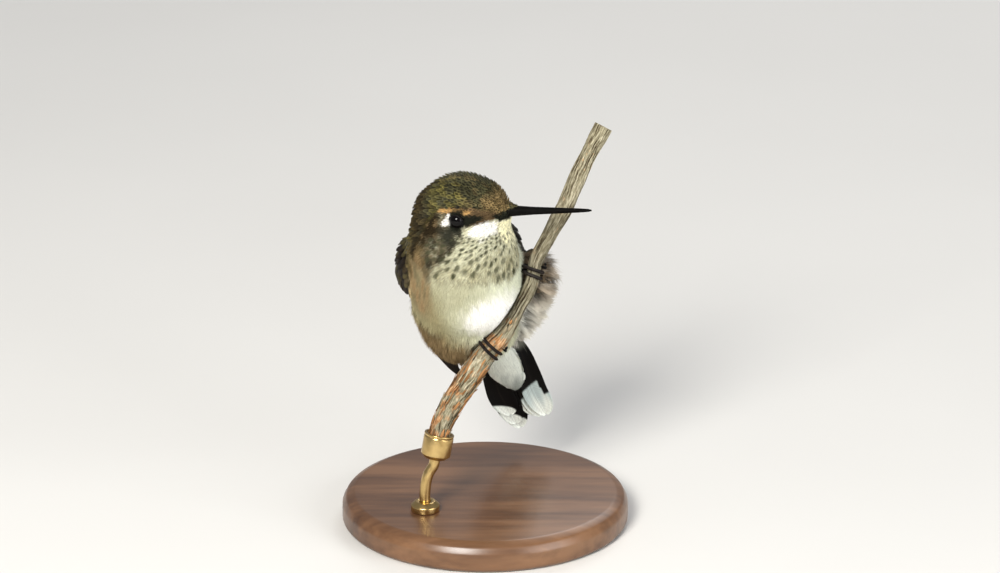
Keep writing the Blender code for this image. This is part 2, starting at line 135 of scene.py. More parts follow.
def coordinates(mesh):
    found = np.empty(len(mesh.vertices) * 3, np.float32)
    mesh.vertices.foreach_get("co", found)
    return found.reshape(-1, 3).astype(float)


def normals_of(mesh):
    found = np.empty(len(mesh.vertices) * 3, np.float32)
    mesh.vertices.foreach_get("normal", found)
    return found.reshape(-1, 3).astype(float)


def move_vertices(mesh, points):
    mesh.vertices.foreach_set("co", np.asarray(points, np.float32).ravel())
    mesh.update()


def colour_vertices(mesh, title, rgba):
    """Give every point of a mesh its colour and strength, under a title that materials read."""
    layer = mesh.attributes.new(title, "FLOAT_COLOR", "POINT")
    layer.data.foreach_set("color", np.asarray(rgba, np.float32).ravel())


def finish_piece(obj, material, *nodes, slot=None):
    """Every piece gets its material and rides with the model, and the nodes it replaces are hidden."""
    obj.data.materials.clear()
    obj.data.materials.append(material)
    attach(obj, "root")
    if nodes:
        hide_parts(*nodes)
    return obj


# %% [markdown]
# ## The plumage's colours
# The bird is in female plumage. It is olive bronze above, with small dark feather centres on the forehead,
# a dark line from the bill to the eye, a white spot behind the eye, a dark ear patch, a whitish throat
# with rows of dusky spots, and a grey-white breast that turns buff on the sides. These colours could be
# painted on by hand, but the skin, the vanes and the barbs over them have to agree everywhere. So formulas
# give the colour of any place on the body, one field laid over the other.

# %% The colours
BRONZE = (0.060, 0.050, 0.019)
NAPE_BROWN = (0.021, 0.0145, 0.006)
SHOULDER_SHADE = (0.010, 0.006, 0.003)
FOREHEAD_TAN = (0.120, 0.084, 0.036)
CROWN_SLATE = (0.034, 0.032, 0.015)
GOLD_OLIVE = (0.080, 0.070, 0.019)
LORE_BLACK = (0.012, 0.013, 0.008)
LORE_BROWN = (0.120, 0.078, 0.038)
EAR_SLATE = (0.030, 0.030, 0.020)
EAR_BROWN = (0.180, 0.150, 0.088)
EAR_DARK = (0.024, 0.021, 0.013)
NECK_OLIVE = (0.105, 0.078, 0.036)
BROW_BUFF = (0.50, 0.30, 0.11)
PURE_WHITE = (0.92, 0.91, 0.86)
CHIN_CREAM = (0.96, 0.92, 0.64)
THROAT_PALE = (0.62, 0.615, 0.44)
THROAT_DUSK = (0.058, 0.058, 0.031)
THROAT_SHADE = (0.230, 0.220, 0.130)
BREAST_GREY = (0.54, 0.54, 0.38)
BREAST_LIT = (0.74, 0.76, 0.58)
SIDE_BROWN = (0.33, 0.225, 0.112)
SIDE_DARK = (0.115, 0.075, 0.035)
SIDE_OLIVE = (0.35, 0.315, 0.175)
VENT_BUFF = (0.175, 0.120, 0.058)
FLANK_TAUPE_SHADED = (0.22, 0.165, 0.105)
FLANK_PALE = (0.54, 0.53, 0.46)
UNDERTAIL_PALE = (0.86, 0.89, 0.80)
UNDERTAIL_GREY = (0.36, 0.39, 0.35)
print("darkest and palest:", SHOULDER_SHADE, PURE_WHITE)

# %% [markdown]
# The fields meet along a few lines: the lower edges of the crown and of the throat, the end of the soft
# feathers under the tail, and the front of the fluffed flank. Each is a curve in the frame of its own part
# of the bird, because there it needs only one or two terms.

# %% Where the fields meet
EYE_AT = (5.62, -0.72, -0.45)         # the left eye in the head's frame


def crown_edge(y):
    """Height of the crown's lower edge on the side of the head, y from the bill to the nape."""
    return 2.55 - np.where(y < 0.3, 0.045, 0.12) * (y - 0.3) ** 2


def throat_edge(x):
    """Height of the throat's lower edge in the trunk's frame."""
    arc = 14.0 - 0.028 * np.minimum(np.abs(x + 3.0), 11.0) ** 2
    return arc + 0.30 * np.sin(2.3 * x) + 0.22 * np.sin(4.1 * x + 1.0)


def undertail_end(x):
    """Height in the tail's frame at which the soft feathers under the tail end."""
    return -15.2 + 1.7 * np.maximum(0, -0.1 - x) + 1.0 * np.maximum(0, x - 0.8)


def flank_edge(z):
    """Where the fluffed left flank begins, on the trunk's own x."""
    return 9.7 + 0.22 * z


print("the throat ends this high in the trunk's frame:", throat_edge(np.zeros(1)).round(1))

# %% [markdown]
# No field has a hard edge, and none is plain, because real plumage is mottled and streaked. Smooth ramps
# soften the edges. A sum of waves in seeded random directions makes the mottling, and it can be drawn out
# down the body for streaks.


# %% Laying one colour over another
def paint(base, colour, share):
    """Lay a colour over others as strongly as share says."""
    share = np.clip(share, 0, 1)[:, None]
    return base * (1 - share) + np.array(colour) * share


def near(distance, full, none):
    return ramp(distance, none, full)


def oval(y, z, centre, reach):
    return np.hypot((y - centre[0]) / reach[0], (z - centre[1]) / reach[1])


def mottle(points, size, seed, long=1.0):
    """A smooth random field between about -1 and 1, with patches of the given size in millimetres, which
    may be several times as long down the body."""
    draw = np.random.default_rng(seed)
    total = np.zeros(len(points))
    for _ in range(9):
        direction = unit(draw.normal(size=3)) * (1, 1, 1 / long) / (size * MM * draw.uniform(0.7, 1.4))
        direction = np.array(TRUNK.to_3x3()) @ direction
        total += np.sin(points @ direction * 2.2 + draw.uniform(0, 6.28))
    return total / 3.0


# %% [markdown]
# Every field asks where a place lies: how far along the head, how high over the throat, or how near the
# back. That is worked out once for all the points, and each field reads what it needs.


# %% Places on the bird
class BodyPlaces:
    """Where points lie in the bird's frames, on which part of it, and the mottling there."""

    def __init__(self, points):
        self.points = points
        head, self.trunk, self.tail = (seen_from(place, points) for place in (HEAD, TRUNK, TAIL))
        self.side, self.y, self.z = np.abs(head[:, 0]), head[:, 1], head[:, 2]
        out, rear, up = np.abs(self.trunk[:, 0]), self.trunk[:, 1], self.trunk[:, 2]
        wing_arm = ramp(out, 11.0, 12.0) * ramp(up, -3.0, -1.0) * ramp(rear, 0.0, 1.5)
        self.below = ramp(rear, 4.0, 1.5) * (1 - wing_arm)
        above_throat = ramp(up - throat_edge(self.trunk[:, 0]), -1.5, 0.9)
        self.on_head = np.maximum(ramp(up, 13.5, 16.5), above_throat * self.below)
        self.pale = self.on_head * ramp(crown_edge(self.y) - self.z, 0.2, 0.9) * ramp(self.y, 4.9, 3.6)
        depth = np.maximum(0, -3.0 - self.z)
        self.front_of_ear = -2.0 + 0.55 * depth + 0.06 * depth ** 2
        self.streaks = mottle(points, 0.55, 46, 3.0)
        self.blotch = mottle(points, 0.62, 53, 1.3)
        self.speckle = mottle(points, 0.42, 47, 1.6)


# %% [markdown]
# The back is bronze with a golden cast, and painted almost black with shade where the folded wing meets the
# shoulder. The breast is grey-white, with painted light that makes it paler on the bird's left and a painted
# highlight in one white oval of the belly. It turns olive and then brown towards the bird's right, buff
# towards the vent, and taupe on the fluffed left flank, painted darker there for the shade it lies in.


# %% Back, breast and flanks
def upperside(at):
    """Colours of the back and the shoulders."""
    out, up = np.abs(at.trunk[:, 0]), at.trunk[:, 2]
    colour = np.tile(np.array(BRONZE), (len(up), 1))
    colour = paint(colour, GOLD_OLIVE, 0.5 * ramp(mottle(at.points, 3.0, 42), 0.2, 0.9))
    # Painted shade: almost black where the folded wing meets the body, broken by flecks where the bronze shows.
    shoulder_shade = ramp(out, 10.0, 11.5) * ramp(up, -3.0, 0.0)
    less_shade = ramp(mottle(at.points, 0.8, 54) + 0.12 * (up - 8.0), 0.2, 0.9)
    return paint(colour, SHOULDER_SHADE, shoulder_shade * (1 - 0.7 * less_shade))


def underside(at):
    """Colours of the breast, the belly and the flanks."""
    x, y, z = at.trunk.T
    colour = np.tile(np.array(BREAST_GREY), (len(x), 1))
    patches = mottle(at.points, 2.4, 41)
    colour = paint(colour, SIDE_OLIVE, 0.30 * ramp(patches, 0.1, 0.9))
    # Painted light: the breast is paler towards the bird's left side, the side the light falls on.
    colour = paint(colour, BREAST_LIT, ramp(x, 0.0, 5.0) * ramp(z, 1.0, 6.0))
    colour = paint(colour, SIDE_OLIVE, ramp(x + 0.25 * z, -2.5, -7.5))
    brown = ramp(x + 0.7 * patches, -7.2, -10.4) * ramp(z, -1.0, 5.0)
    colour = paint(colour, SIDE_BROWN, brown * (0.70 + 0.4 * at.streaks))
    colour = paint(colour, SIDE_DARK, brown * 0.55 * ramp(at.streaks, 0.1, -0.8))
    colour = paint(colour, BRONZE, 0.8 * ramp(y + 0.8 * at.streaks, 0.4, 2.4) * ramp(x, -8.0, -10.0))
    colour = paint(colour, VENT_BUFF, ramp(z + 0.6 * patches, -0.5, -5.0) * ramp(x, 0.5, -4.0))
    # Painted highlight: an oval of pure white laid over the grey-white belly.
    white = oval(x, z, (3.4, 4.8), (np.where(x > 3.4, 5.0, 5.9), np.where(z > 4.8, 4.4, 5.6)))
    white = white + 0.08 * patches + 0.08 * mottle(at.points, 0.5, 48, 3.0)
    colour = paint(colour, PURE_WHITE, near(white, 0.55, 1.45))
    # The flank's own taupe, painted darker as the shade that the flank lies in.
    on_flank = ramp(x - flank_edge(z), -0.6, 0.6)
    colour = paint(colour, FLANK_TAUPE_SHADED, on_flank)
    return paint(colour, FLANK_PALE, on_flank * ramp(z + 1.5 * patches, 1.5, -5.0))


# %% [markdown]
# The throat is whitish, clouded with olive and dusk towards its sides. The ear patch behind it is slate
# under the eye and browner below, and its front edge is ragged. A white stripe runs back from the bill over
# the cream chin. The soft feathers under the tail are pale, and greyer towards their ends.


# %% Throat, ear and chin
def neck_and_throat(colour, at):
    side, y, z, pale = at.side, at.y, at.z, at.pale
    colour = paint(colour, NAPE_BROWN, at.on_head)
    colour = paint(colour, THROAT_PALE, pale)
    clouded = 0.35 + 0.35 * ramp(mottle(at.points, 0.9, 44), 0.0, 0.8)
    colour = paint(colour, SIDE_OLIVE, pale * clouded * ramp(z, -6.0, -10.0))
    colour = paint(colour, SIDE_OLIVE, pale * 0.5 * ramp(mottle(at.points, 0.33, 52, 2.5), 0.0, 0.9))
    dusky = ramp(at.blotch, -0.3, 0.6)
    beside_ear = ramp(at.front_of_ear - y, 3.2, 0.3) * ramp(z, -2.6, -4.2)
    colour = paint(colour, THROAT_SHADE, pale * beside_ear * (0.20 + 0.34 * dusky))
    low_side = ramp(side, 4.5, 8.0) * ramp(z, -5.0, -8.0)
    colour = paint(colour, THROAT_SHADE, pale * low_side * (0.08 + 0.22 * dusky))
    neck_side = at.on_head * ramp(y + 0.8 * mottle(at.points, 1.5, 45), 3.6, 6.0)
    neck_side = neck_side * ramp(z, -3.4, -5.4) * at.below
    colour = paint(colour, NECK_OLIVE, neck_side)
    colour = paint(colour, SIDE_BROWN, neck_side * (0.55 + 0.5 * at.streaks) * ramp(z, -4.5, -8.5))
    return paint(colour, SIDE_DARK, neck_side * 0.6 * ramp(at.streaks, 0.2, -0.7))


def ear_patch(colour, at):
    y, z, on_head, speckle = at.y, at.z, at.on_head, at.speckle
    ear = ramp(y + 0.6 * speckle + 0.8 * at.blotch, at.front_of_ear - 0.5, at.front_of_ear + 1.4)
    ear = ear * ramp(y + 0.9 * speckle, 6.6, 4.4)
    ear = ear * ramp(z, crown_edge(y) + 0.2, crown_edge(y) - 0.6)
    ear = ear * ramp(at.side, 4.0, 5.5) * ramp(z, -10.6, -8.4)
    colour = paint(colour, EAR_BROWN, ear * on_head)
    colour = paint(colour, EAR_DARK, ear * on_head * (0.22 + 0.70 * ramp(at.blotch, -0.15, 0.45)))
    colour = paint(colour, THROAT_PALE, ear * on_head * 0.30 * ramp(speckle, 0.5, 1.0))
    colour = paint(colour, EAR_SLATE, ear * near(oval(y, z, (0.3, -2.9), (2.7, 2.0)), 0.45, 1.25))
    behind = on_head * ramp(y, 2.4, 3.8) * ramp(z, -3.9, -2.2) * ramp(z, crown_edge(y) + 0.6, crown_edge(y))
    colour = paint(colour, NAPE_BROWN, behind)
    return paint(colour, SIDE_BROWN, behind * 0.42 * ramp(mottle(at.points, 0.6, 49), 0.5, 0.9))


def stripe_and_chin(colour, at):
    side, y, z, pale = at.side, at.y, at.z, at.pale
    stripe_top = -1.50 - 0.58 * ramp(y, -5.6, -7.5) - 1.0 * ramp(y, -4.6, -2.9)
    stripe_foot = -3.5 - 1.0 * ramp(y, -3.4, -5.6)
    chin_edge = 2.75 + 0.3 * np.clip(-2.8 - z, 0, 3)
    stripe = ramp(stripe_top - z, -0.1, 0.2) * ramp(z - stripe_foot + 0.3 * at.speckle, -0.4, 0.5)
    stripe = stripe * ramp(y, -2.5, -3.5) * ramp(side, chin_edge - 0.1, chin_edge + 0.15)
    colour = paint(colour, PURE_WHITE, pale * stripe)
    chin = ramp(y, -5.6, -6.8) * ramp(side, chin_edge, chin_edge - 0.25)
    colour = paint(colour, CHIN_CREAM, pale * chin * ramp(z, -8.5, -5.8))
    groove = near(np.abs(side - chin_edge), 0.05, 0.25) * ramp(y, -6.3, -7.0) * ramp(z, -6.5, -5.0)
    return paint(colour, SIDE_OLIVE, pale * groove * 0.75)


def under_the_tail(colour, at):
    _, y, z = at.tail.T
    under_tail = ramp(z, 1.0, -2.0) * ramp(y, 1.0, 0.0)
    colour = paint(colour, UNDERTAIL_PALE, under_tail)
    greyer = ramp(z + 1.5 * mottle(at.points, 1.0, 50, 2.0), -6.0, -14.0)
    return paint(colour, UNDERTAIL_GREY, under_tail * greyer)


# %% [markdown]
# The crown is slate, tan over the bill and golden olive behind. The face has its strongest marks round the
# eye: a dark line from the bill, a buff brow in three patches, and the white spot behind the eye. They are
# laid on last, so that nothing covers them.

# %% Crown and eye marks
BROW_PATCHES = (              # strength, middle and reach along and up the head
    (1.00, (1.2, 1.95), (1.9, 0.46)),
    (0.95, (-3.1, 1.05), (0.85, 0.45)),
    (0.30, (-1.2, 1.95), (2.0, 0.35)),
)


def crown_and_nape(colour, at):
    side, y, z = at.side, at.y, at.z
    crown = at.on_head * ramp(z - crown_edge(y), -0.35, 0.35)
    colour = paint(colour, CROWN_SLATE, crown)
    blotches = mottle(at.points, 1.0, 43)
    tan = near(oval(y, z, (-7.8, 1.2), (2.2, 2.4)) + 0.22 * blotches, 0.55, 1.45)
    colour = paint(colour, FOREHEAD_TAN, crown * np.maximum(tan, 0.35 * ramp(blotches, 0.2, 0.9)))
    gold = ramp(y + 2.5 * blotches, -2.5, 2.5) * ramp(blotches, -0.5, 0.6) * ramp(side, -1.0, 4.0)
    colour = paint(colour, GOLD_OLIVE, crown * gold * 0.9 * ramp(y, 9.0, 4.0))
    return paint(colour, NAPE_BROWN, crown * ramp(y + 1.2 * blotches, 3.5, 7.5) * 0.9)


def line_to_the_eye(colour, at):
    side, y, z, on_head = at.side, at.y, at.z, at.on_head
    below_brow = on_head * ramp(crown_edge(y) - z, -0.3, 0.2) * ramp(y, -2.0, -3.0) * ramp(z, -1.9, -1.5)
    colour = paint(colour, LORE_BROWN, below_brow * ramp(side, 1.0, 1.8))
    half_height = 0.30 + 0.62 * ramp(y, -5.8, -2.9)
    lore = near(np.abs(z + 0.5), half_height, half_height + 0.35) * ramp(side, 0.8, 1.6) * ramp(y, -1.5, -2.0)
    colour = paint(colour, LORE_BLACK, lore * on_head * ramp(y, -6.4, -5.4))
    at_bill = ramp(-0.55 - z, 0.0, 0.25) * ramp(z + 1.3 + 1.2 * ramp(y, -7.4, -8.4), -0.15, 0.1)
    at_bill = at_bill * ramp(y, -7.1, -7.5)
    return paint(colour, LORE_BLACK, at_bill * on_head)


def round_the_eye(colour, at):
    side, y, z, on_head = at.side, at.y, at.z, at.on_head
    over_eye = ramp(z, 0.5, 0.8) * ramp(y, 0.8, 0.3) * ramp(y, -3.6, -3.1)
    over_eye = over_eye * ramp(z, crown_edge(y) + 0.3, crown_edge(y))
    colour = paint(colour, EAR_DARK, over_eye * on_head * ramp(side, 3.5, 4.5))
    brow = np.zeros_like(y)
    for strength, middle, reach in BROW_PATCHES:
        brow = np.maximum(brow, strength * near(oval(y, z, middle, reach), 0.6, 1.1))
    brow = brow * ramp(side, 3.5, 4.5) * on_head
    colour = paint(colour, BROW_BUFF, brow * ramp(z, crown_edge(y) + 0.15, crown_edge(y)))
    around_eye = oval(y, z, EYE_AT[1:], (1.0, 1.0))
    colour = paint(colour, LORE_BLACK, near(around_eye, 1.60, 2.0) * ramp(side, 4.0, 5.0) * on_head)
    spot = ramp(y, 0.25, 0.45) * ramp(z, -1.20, -0.90)
    spot = spot * ramp(1.55 - 0.97 * (y - 0.4) - z, -0.05, 0.3) * ramp(y, 2.35, 2.0)
    return paint(colour, PURE_WHITE, spot * ramp(side, 4.5, 5.5) * on_head * ramp(around_eye, 1.3, 1.5))


FIELDS = (neck_and_throat, ear_patch, stripe_and_chin, crown_and_nape, line_to_the_eye, round_the_eye,
          under_the_tail)


def plumage(points):
    """The coat's colour at each of the points."""
    at = BodyPlaces(points)
    colour = upperside(at) * (1 - at.below[:, None]) + underside(at) * at.below[:, None]
    for field in FIELDS:
        colour = field(colour, at)
    return colour


print("colour of the belly's middle:", plumage(put_in_room(TRUNK, [(2.6, -12.0, 4.2)])).round(2))

# %% [markdown]
# ## The skin
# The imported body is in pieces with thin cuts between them. A real skin has no seams, so the pieces are
# swollen until the cuts close, fused by a voxel remesh, and smoothed. Two plain balls fill the hollows that
# were cut for the eyes, and four small ones draw the forehead to a point over the bill. Then the skin sinks
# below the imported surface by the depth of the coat, which is thin on the face and deep on the fluffed flanks.

# %% Fuse and sink the skin
FLESH = ("head", "neck", "trunk", "leg_left_thigh", "leg_right_thigh", "undertail_coverts",
         "wing_left_arm", "wing_right_arm")
SWELL = 0.22 * MM          # wide enough to close the cuts
SKIN_GRAIN = 0.4 * MM
SNAP = 0.8 * MM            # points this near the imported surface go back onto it
EYE_FILLING = 2.15
FOREHEAD_POINT = (         # place along the head, radius and height of each small ball
    (-9.0, 1.05, -0.45),
    (-10.0, 0.85, -0.52),
    (-10.9, 0.62, -0.55),
    (-11.6, 0.40, -0.55),
)
COVERT_REACH = 2.2         # how far the feathers under the tail reach past the skin


def coat_depth(points):
    """Depth of the coat in metres: thin at the bill, deep on the flanks and the belly."""
    head, trunk, tail = (seen_from(place, points) for place in (HEAD, TRUNK, TAIL))
    depth = 0.70 + 0.30 * ramp(trunk[:, 2], 12.0, 6.0) * ramp(trunk[:, 1], 2.0, -3.0)
    depth = depth + 1.0 * ramp(trunk[:, 0], 9.5, 12.5) * ramp(trunk[:, 1], 4.0, 1.0)
    depth = depth - 0.35 * ramp(tail[:, 2], 1.0, -3.0)
    on_head = ramp(trunk[:, 2], 12.0, 17.0)
    face = 0.16 + 0.34 * ramp(head[:, 1], -9.0, 1.0)
    return (depth * (1 - on_head) + face * on_head) * MM


def ball(name, radius, place, centre, segments, rings):
    """A smooth ball whose centre is given in a frame's millimetres."""
    bpy.ops.object.select_all(action="DESELECT")
    bpy.ops.mesh.primitive_uv_sphere_add(segments=segments, ring_count=rings, radius=radius * MM,
                                         location=put_in_room(place, [centre])[0])
    obj = bpy.context.object
    obj.name = name
    settle(obj)
    obj.data.shade_smooth()
    return obj


skin = copy_of_nodes("skin", FLESH)
fillings = [ball("eye_hollow", EYE_FILLING, HEAD, (side * 4.6, -1.3, -0.2), 32, 16) for side in (1, -1)]
for ahead, radius, height in FOREHEAD_POINT:
    fillings.append(ball("forehead_point", radius, HEAD, (0.0, ahead, height), 24, 12))
select_only(skin, *fillings)
bpy.ops.object.join()
packed_tree = BVHTree.FromObject(skin, bpy.context.evaluated_depsgraph_get())
apply_modifier(skin, "DISPLACE", strength=SWELL, mid_level=0.0)
apply_modifier(skin, "REMESH", mode="VOXEL", voxel_size=SKIN_GRAIN)
apply_modifier(skin, "SMOOTH", factor=0.5, iterations=8)
shell_points, shell_normals = coordinates(skin.data), normals_of(skin.data)
for number, point in enumerate(shell_points):
    on_packed, _, _, distance = packed_tree.find_nearest(point)
    if distance < SNAP:
        shell_points[number] = on_packed
shell_points = shell_points - shell_normals * coat_depth(shell_points)[:, None]
below_tail = seen_from(TAIL, shell_points)
limit = undertail_end(below_tail[:, 0]) + COVERT_REACH
shorter = (below_tail[:, 2] < limit) & (below_tail[:, 1] < 1.5)
below_tail[:, 2] = np.where(shorter, limit + 0.2 * (below_tail[:, 2] - limit), below_tail[:, 2])
move_vertices(skin.data, np.where(shorter[:, None], put_in_room(TAIL, below_tail), shell_points))
apply_modifier(skin, "SMOOTH", factor=0.5, iterations=3)
print("skin faces:", len(skin.data.polygons))

# %% [markdown]
# The skin is unwrapped by its own shape onto a flat map for the coat's colours, and each feather later takes
# a tiny patch of the map at the place where it grows.

# %% Unwrap the skin
PATCH = 0.003              # width of a feather's patch on the map


def unwrap(obj):
    select_only(obj)
    bpy.ops.object.mode_set(mode="EDIT")
    bpy.ops.mesh.select_all(action="SELECT")
    bpy.ops.uv.smart_project(angle_limit=math.radians(66), island_margin=0.004)
    bpy.ops.object.mode_set(mode="OBJECT")
    obj.data.uv_layers[0].name = "OFBake"


unwrap(skin)


def triangles_of(mesh):
    """Corner points, smooth normals, map places and corner numbers of a mesh's triangles."""
    mesh.calc_loop_triangles()
    count = len(mesh.loop_triangles)
    corners = np.empty(count * 3, np.int32)
    loops = np.empty(count * 3, np.int32)
    mesh.loop_triangles.foreach_get("vertices", corners)
    mesh.loop_triangles.foreach_get("loops", loops)
    flat_map = np.empty(len(mesh.loops) * 2, np.float32)
    mesh.uv_layers["OFBake"].data.foreach_get("uv", flat_map)
    corners, loops = corners.reshape(-1, 3), loops.reshape(-1, 3)
    return coordinates(mesh)[corners], normals_of(mesh)[corners], flat_map.reshape(-1, 2)[loops], corners


skin_corners, skin_normals, skin_map, skin_triangles = triangles_of(skin.data)
skin_areas = np.linalg.norm(np.cross(skin_corners[:, 1] - skin_corners[:, 0],
                                     skin_corners[:, 2] - skin_corners[:, 0]), axis=1) / 2
skin_tree = BVHTree.FromPolygons([Vector(p) for p in coordinates(skin.data)], skin_triangles.tolist())
face_normals = unit(skin_normals.mean(axis=1))
print("skin area in square millimetres:", round(skin_areas.sum() / MM ** 2))


def nearest_on_skin(points):
    """The closest places on the skin and the smooth normals there."""
    found = np.empty_like(points)
    triangle = np.empty(len(points), int)
    for number, point in enumerate(points):
        place, _, index, _ = skin_tree.find_nearest(point)
        found[number] = place
        triangle[number] = index
    return found, face_normals[triangle]


# %% [markdown]
# ## The lie of the coat
# Feathers point away from the bill over the head and throat, and from there down the body to the tail. They
# part before the eye and pass round it. A function gives that direction anywhere, so that a feather can
# follow it over a curved surface.

# %% The lie of the coat
BILL_ROOT = put_in_room(HEAD, [(0.0, -12.0, -1.2)])[0]
VENT = put_in_room(TAIL, [(0.0, -1.0, -16.0)])[0]
BODY_DOWN = -np.array(TRUNK.to_3x3().col[2])
BODY_LEFT = np.array(TRUNK.to_3x3().col[0])
TAIL_DOWN = -np.array(TAIL.to_3x3().col[2])
EYES = put_in_room(HEAD, [(side * EYE_AT[0], EYE_AT[1], EYE_AT[2]) for side in (1, -1)])


def lie(points, normals):
    """Unit vectors along the surface in which the feathers at these points lie."""
    trunk, tail = seen_from(TRUNK, points), seen_from(TAIL, points)
    down = unit(BODY_DOWN * 1.3 + unit(VENT - points) * 0.7)
    flank = ramp(trunk[:, 0] - flank_edge(trunk[:, 2]), -0.8, 1.0)
    flank = flank * ramp(trunk[:, 1], 3.0, 0.0) * ramp(trunk[:, 2], 10.0, 8.0)
    down = unit(down + BODY_LEFT * 0.9 * flank[:, None])
    on_head = ramp(trunk[:, 2], 8.0, 17.0)[:, None]
    heading = unit(points - BILL_ROOT) * on_head + down * (1 - on_head)
    under_tail = (ramp(tail[:, 2], 3.0, -1.0) * ramp(tail[:, 1], 0.5, -0.5))[:, None]
    heading = heading * (1 - under_tail) + TAIL_DOWN * under_tail
    for eye in EYES:
        away = points - eye
        distance = np.linalg.norm(away, axis=1)
        outward = away / distance[:, None]
        inward = np.minimum(np.sum(heading * outward, axis=1), 0) * near(distance, 1.8 * MM, 3.4 * MM) * 1.1
        heading = heading - outward * inward[:, None]
    return unit(heading - normals * np.sum(heading * normals, axis=1)[:, None])


# %% [markdown]
# ## The twig's line
# The twig passes in front of the belly and the left flank. No feather may cross it, so its middle line and
# its radius are set down before the coat grows, as stations down its length with a smooth curve through them.

# %% The twig's line and what touches it
TWIG = np.array((             # place and radius of each station, from the top down
    (23.5, 4.3, 82.3, 1.85), (19.5, 1.9, 75.0, 1.80), (17.4, 0.4, 70.3, 1.85), (16.1, -0.6, 67.4, 1.75),
    (12.5, -2.4, 61.1, 1.60), (10.5, -3.5, 57.5, 1.45), (9.0, -5.0, 52.1, 1.35), (7.0, -6.1, 48.3, 1.25),
    (4.2, -7.1, 43.4, 1.70), (-0.3, -7.8, 37.9, 2.20), (-3.4, -8.3, 33.1, 2.30), (-6.1, -8.7, 29.0, 2.30),
    (-9.0, -9.4, 22.8, 2.10), (-9.8, -9.9, 18.3, 2.10),
))
CAMERA_RISE = math.radians(20.0)
FRONT = np.array((0.0, -math.cos(CAMERA_RISE), math.sin(CAMERA_RISE)))
TWIG_MARGIN = 0.003           # room round the twig in which feathers are looked at one by one


def along_twig(share):
    """Middle and radius of the twig at shares of its length, on a smooth curve through its stations."""
    steps = np.concatenate([[0], np.cumsum(np.linalg.norm(np.diff(TWIG[:, :3], axis=0), axis=1))])
    steps = steps / steps[-1]
    slopes = np.gradient(TWIG, steps, axis=0)
    index = np.clip(np.searchsorted(steps, share, side="right") - 1, 0, len(TWIG) - 2)
    width = (steps[index + 1] - steps[index])
    t = ((share - steps[index]) / width)[:, None]
    width = width[:, None]
    return ((2 * t ** 3 - 3 * t ** 2 + 1) * TWIG[index] + (t ** 3 - 2 * t ** 2 + t) * width * slopes[index]
            + (3 * t ** 2 - 2 * t ** 3) * TWIG[index + 1] + (t ** 3 - t ** 2) * width * slopes[index + 1])


twig_line = along_twig(np.linspace(0, 1, 260))


def crosses_twig(copies):
    """Which copies of a feather, given by their points, touch the twig or pass in front of it."""
    mask = np.zeros(len(copies), bool)
    low = twig_line[:, :3].min(axis=0) * MM - TWIG_MARGIN
    high = twig_line[:, :3].max(axis=0) * MM + TWIG_MARGIN
    could = np.flatnonzero(((copies > low) & (copies < high)).all(axis=2).any(axis=1))
    across = np.array((1.0, 0.0, 0.0))
    upward = np.cross(FRONT, across)
    line = np.stack([twig_line[:, :3] @ across, twig_line[:, :3] @ upward], axis=1)
    tree = KDTree(len(line))
    for number, place in enumerate(line):
        tree.insert((place[0], place[1], 0.0), number)
    tree.balance()
    depth = twig_line[:, :3] @ FRONT
    for copy in could:
        for point in copies[copy] / MM:
            _, number, distance = tree.find((point @ across, point @ upward, 0.0))
            radius = twig_line[number, 3]
            if distance < radius + 0.05 and point @ FRONT > depth[number] - radius - 0.1:
                mask[copy] = True
                break
    return mask


twig_steps = np.linalg.norm(np.diff(twig_line[:, :3], axis=0), axis=1)
print("length of the twig in mm:", round(float(twig_steps.sum()), 1))

# %% [markdown]
# ## Roots
# A real coat is spread evenly: no two feathers grow at the same spot. Random points are thinned until none
# lies closer to another than the spacing wanted there. Fine barbs are so many that they need no thinning.


# %% Spread the roots
def scatter(where, spacing, seed, even=True):
    """Roots over the skin where the mask says so, about spacing millimetres apart."""
    draw = np.random.default_rng(seed)
    centres = skin_corners.mean(axis=1)
    gap = np.broadcast_to(spacing(centres) if callable(spacing) else spacing, len(centres)) * MM
    weight = skin_areas * where(centres) / gap ** 2
    count = int(weight.sum() * (5.0 if even else 1.0))
    chosen = draw.choice(len(centres), count, p=weight / weight.sum())
    share = draw.random((count, 2))
    share = np.where(share.sum(axis=1, keepdims=True) > 1, 1 - share, share)
    blend = np.stack([1 - share.sum(axis=1), share[:, 0], share[:, 1]], axis=1)[:, :, None]
    points = (skin_corners[chosen] * blend).sum(axis=1)
    keep = np.ones(count, bool)
    if even:
        tree = KDTree(count)
        for number, point in enumerate(points):
            tree.insert(point, number)
        tree.balance()
        reach = gap[chosen] * 0.82
        for number in range(count):
            if keep[number]:
                for _, other, _ in tree.find_range(points[number], reach[number]):
                    if other != number:
                        keep[other] = False
    return {
        "points": points[keep],
        "normals": unit((skin_normals[chosen] * blend).sum(axis=1))[keep],
        "map": (skin_map[chosen] * blend).sum(axis=1)[keep],
    }


# %% [markdown]
# ## One feather, modelled once
# Each kind of feather starts as a small flat grid. Its rows are scaled in edit mode to the outline, and it
# is bent to a shallow trough, because a vane is arched across. The finished shape is read as numbers and
# repeated for every root, each copy bent along its own stretch of skin.


# %% Model the templates
def select_row(obj, height):
    """Select the row of points of a grid at one height along it."""
    bpy.ops.object.mode_set(mode="OBJECT")
    for vertex in obj.data.vertices:
        vertex.select = abs(vertex.co.y - height) < 1e-4
    bpy.ops.object.mode_set(mode="EDIT")


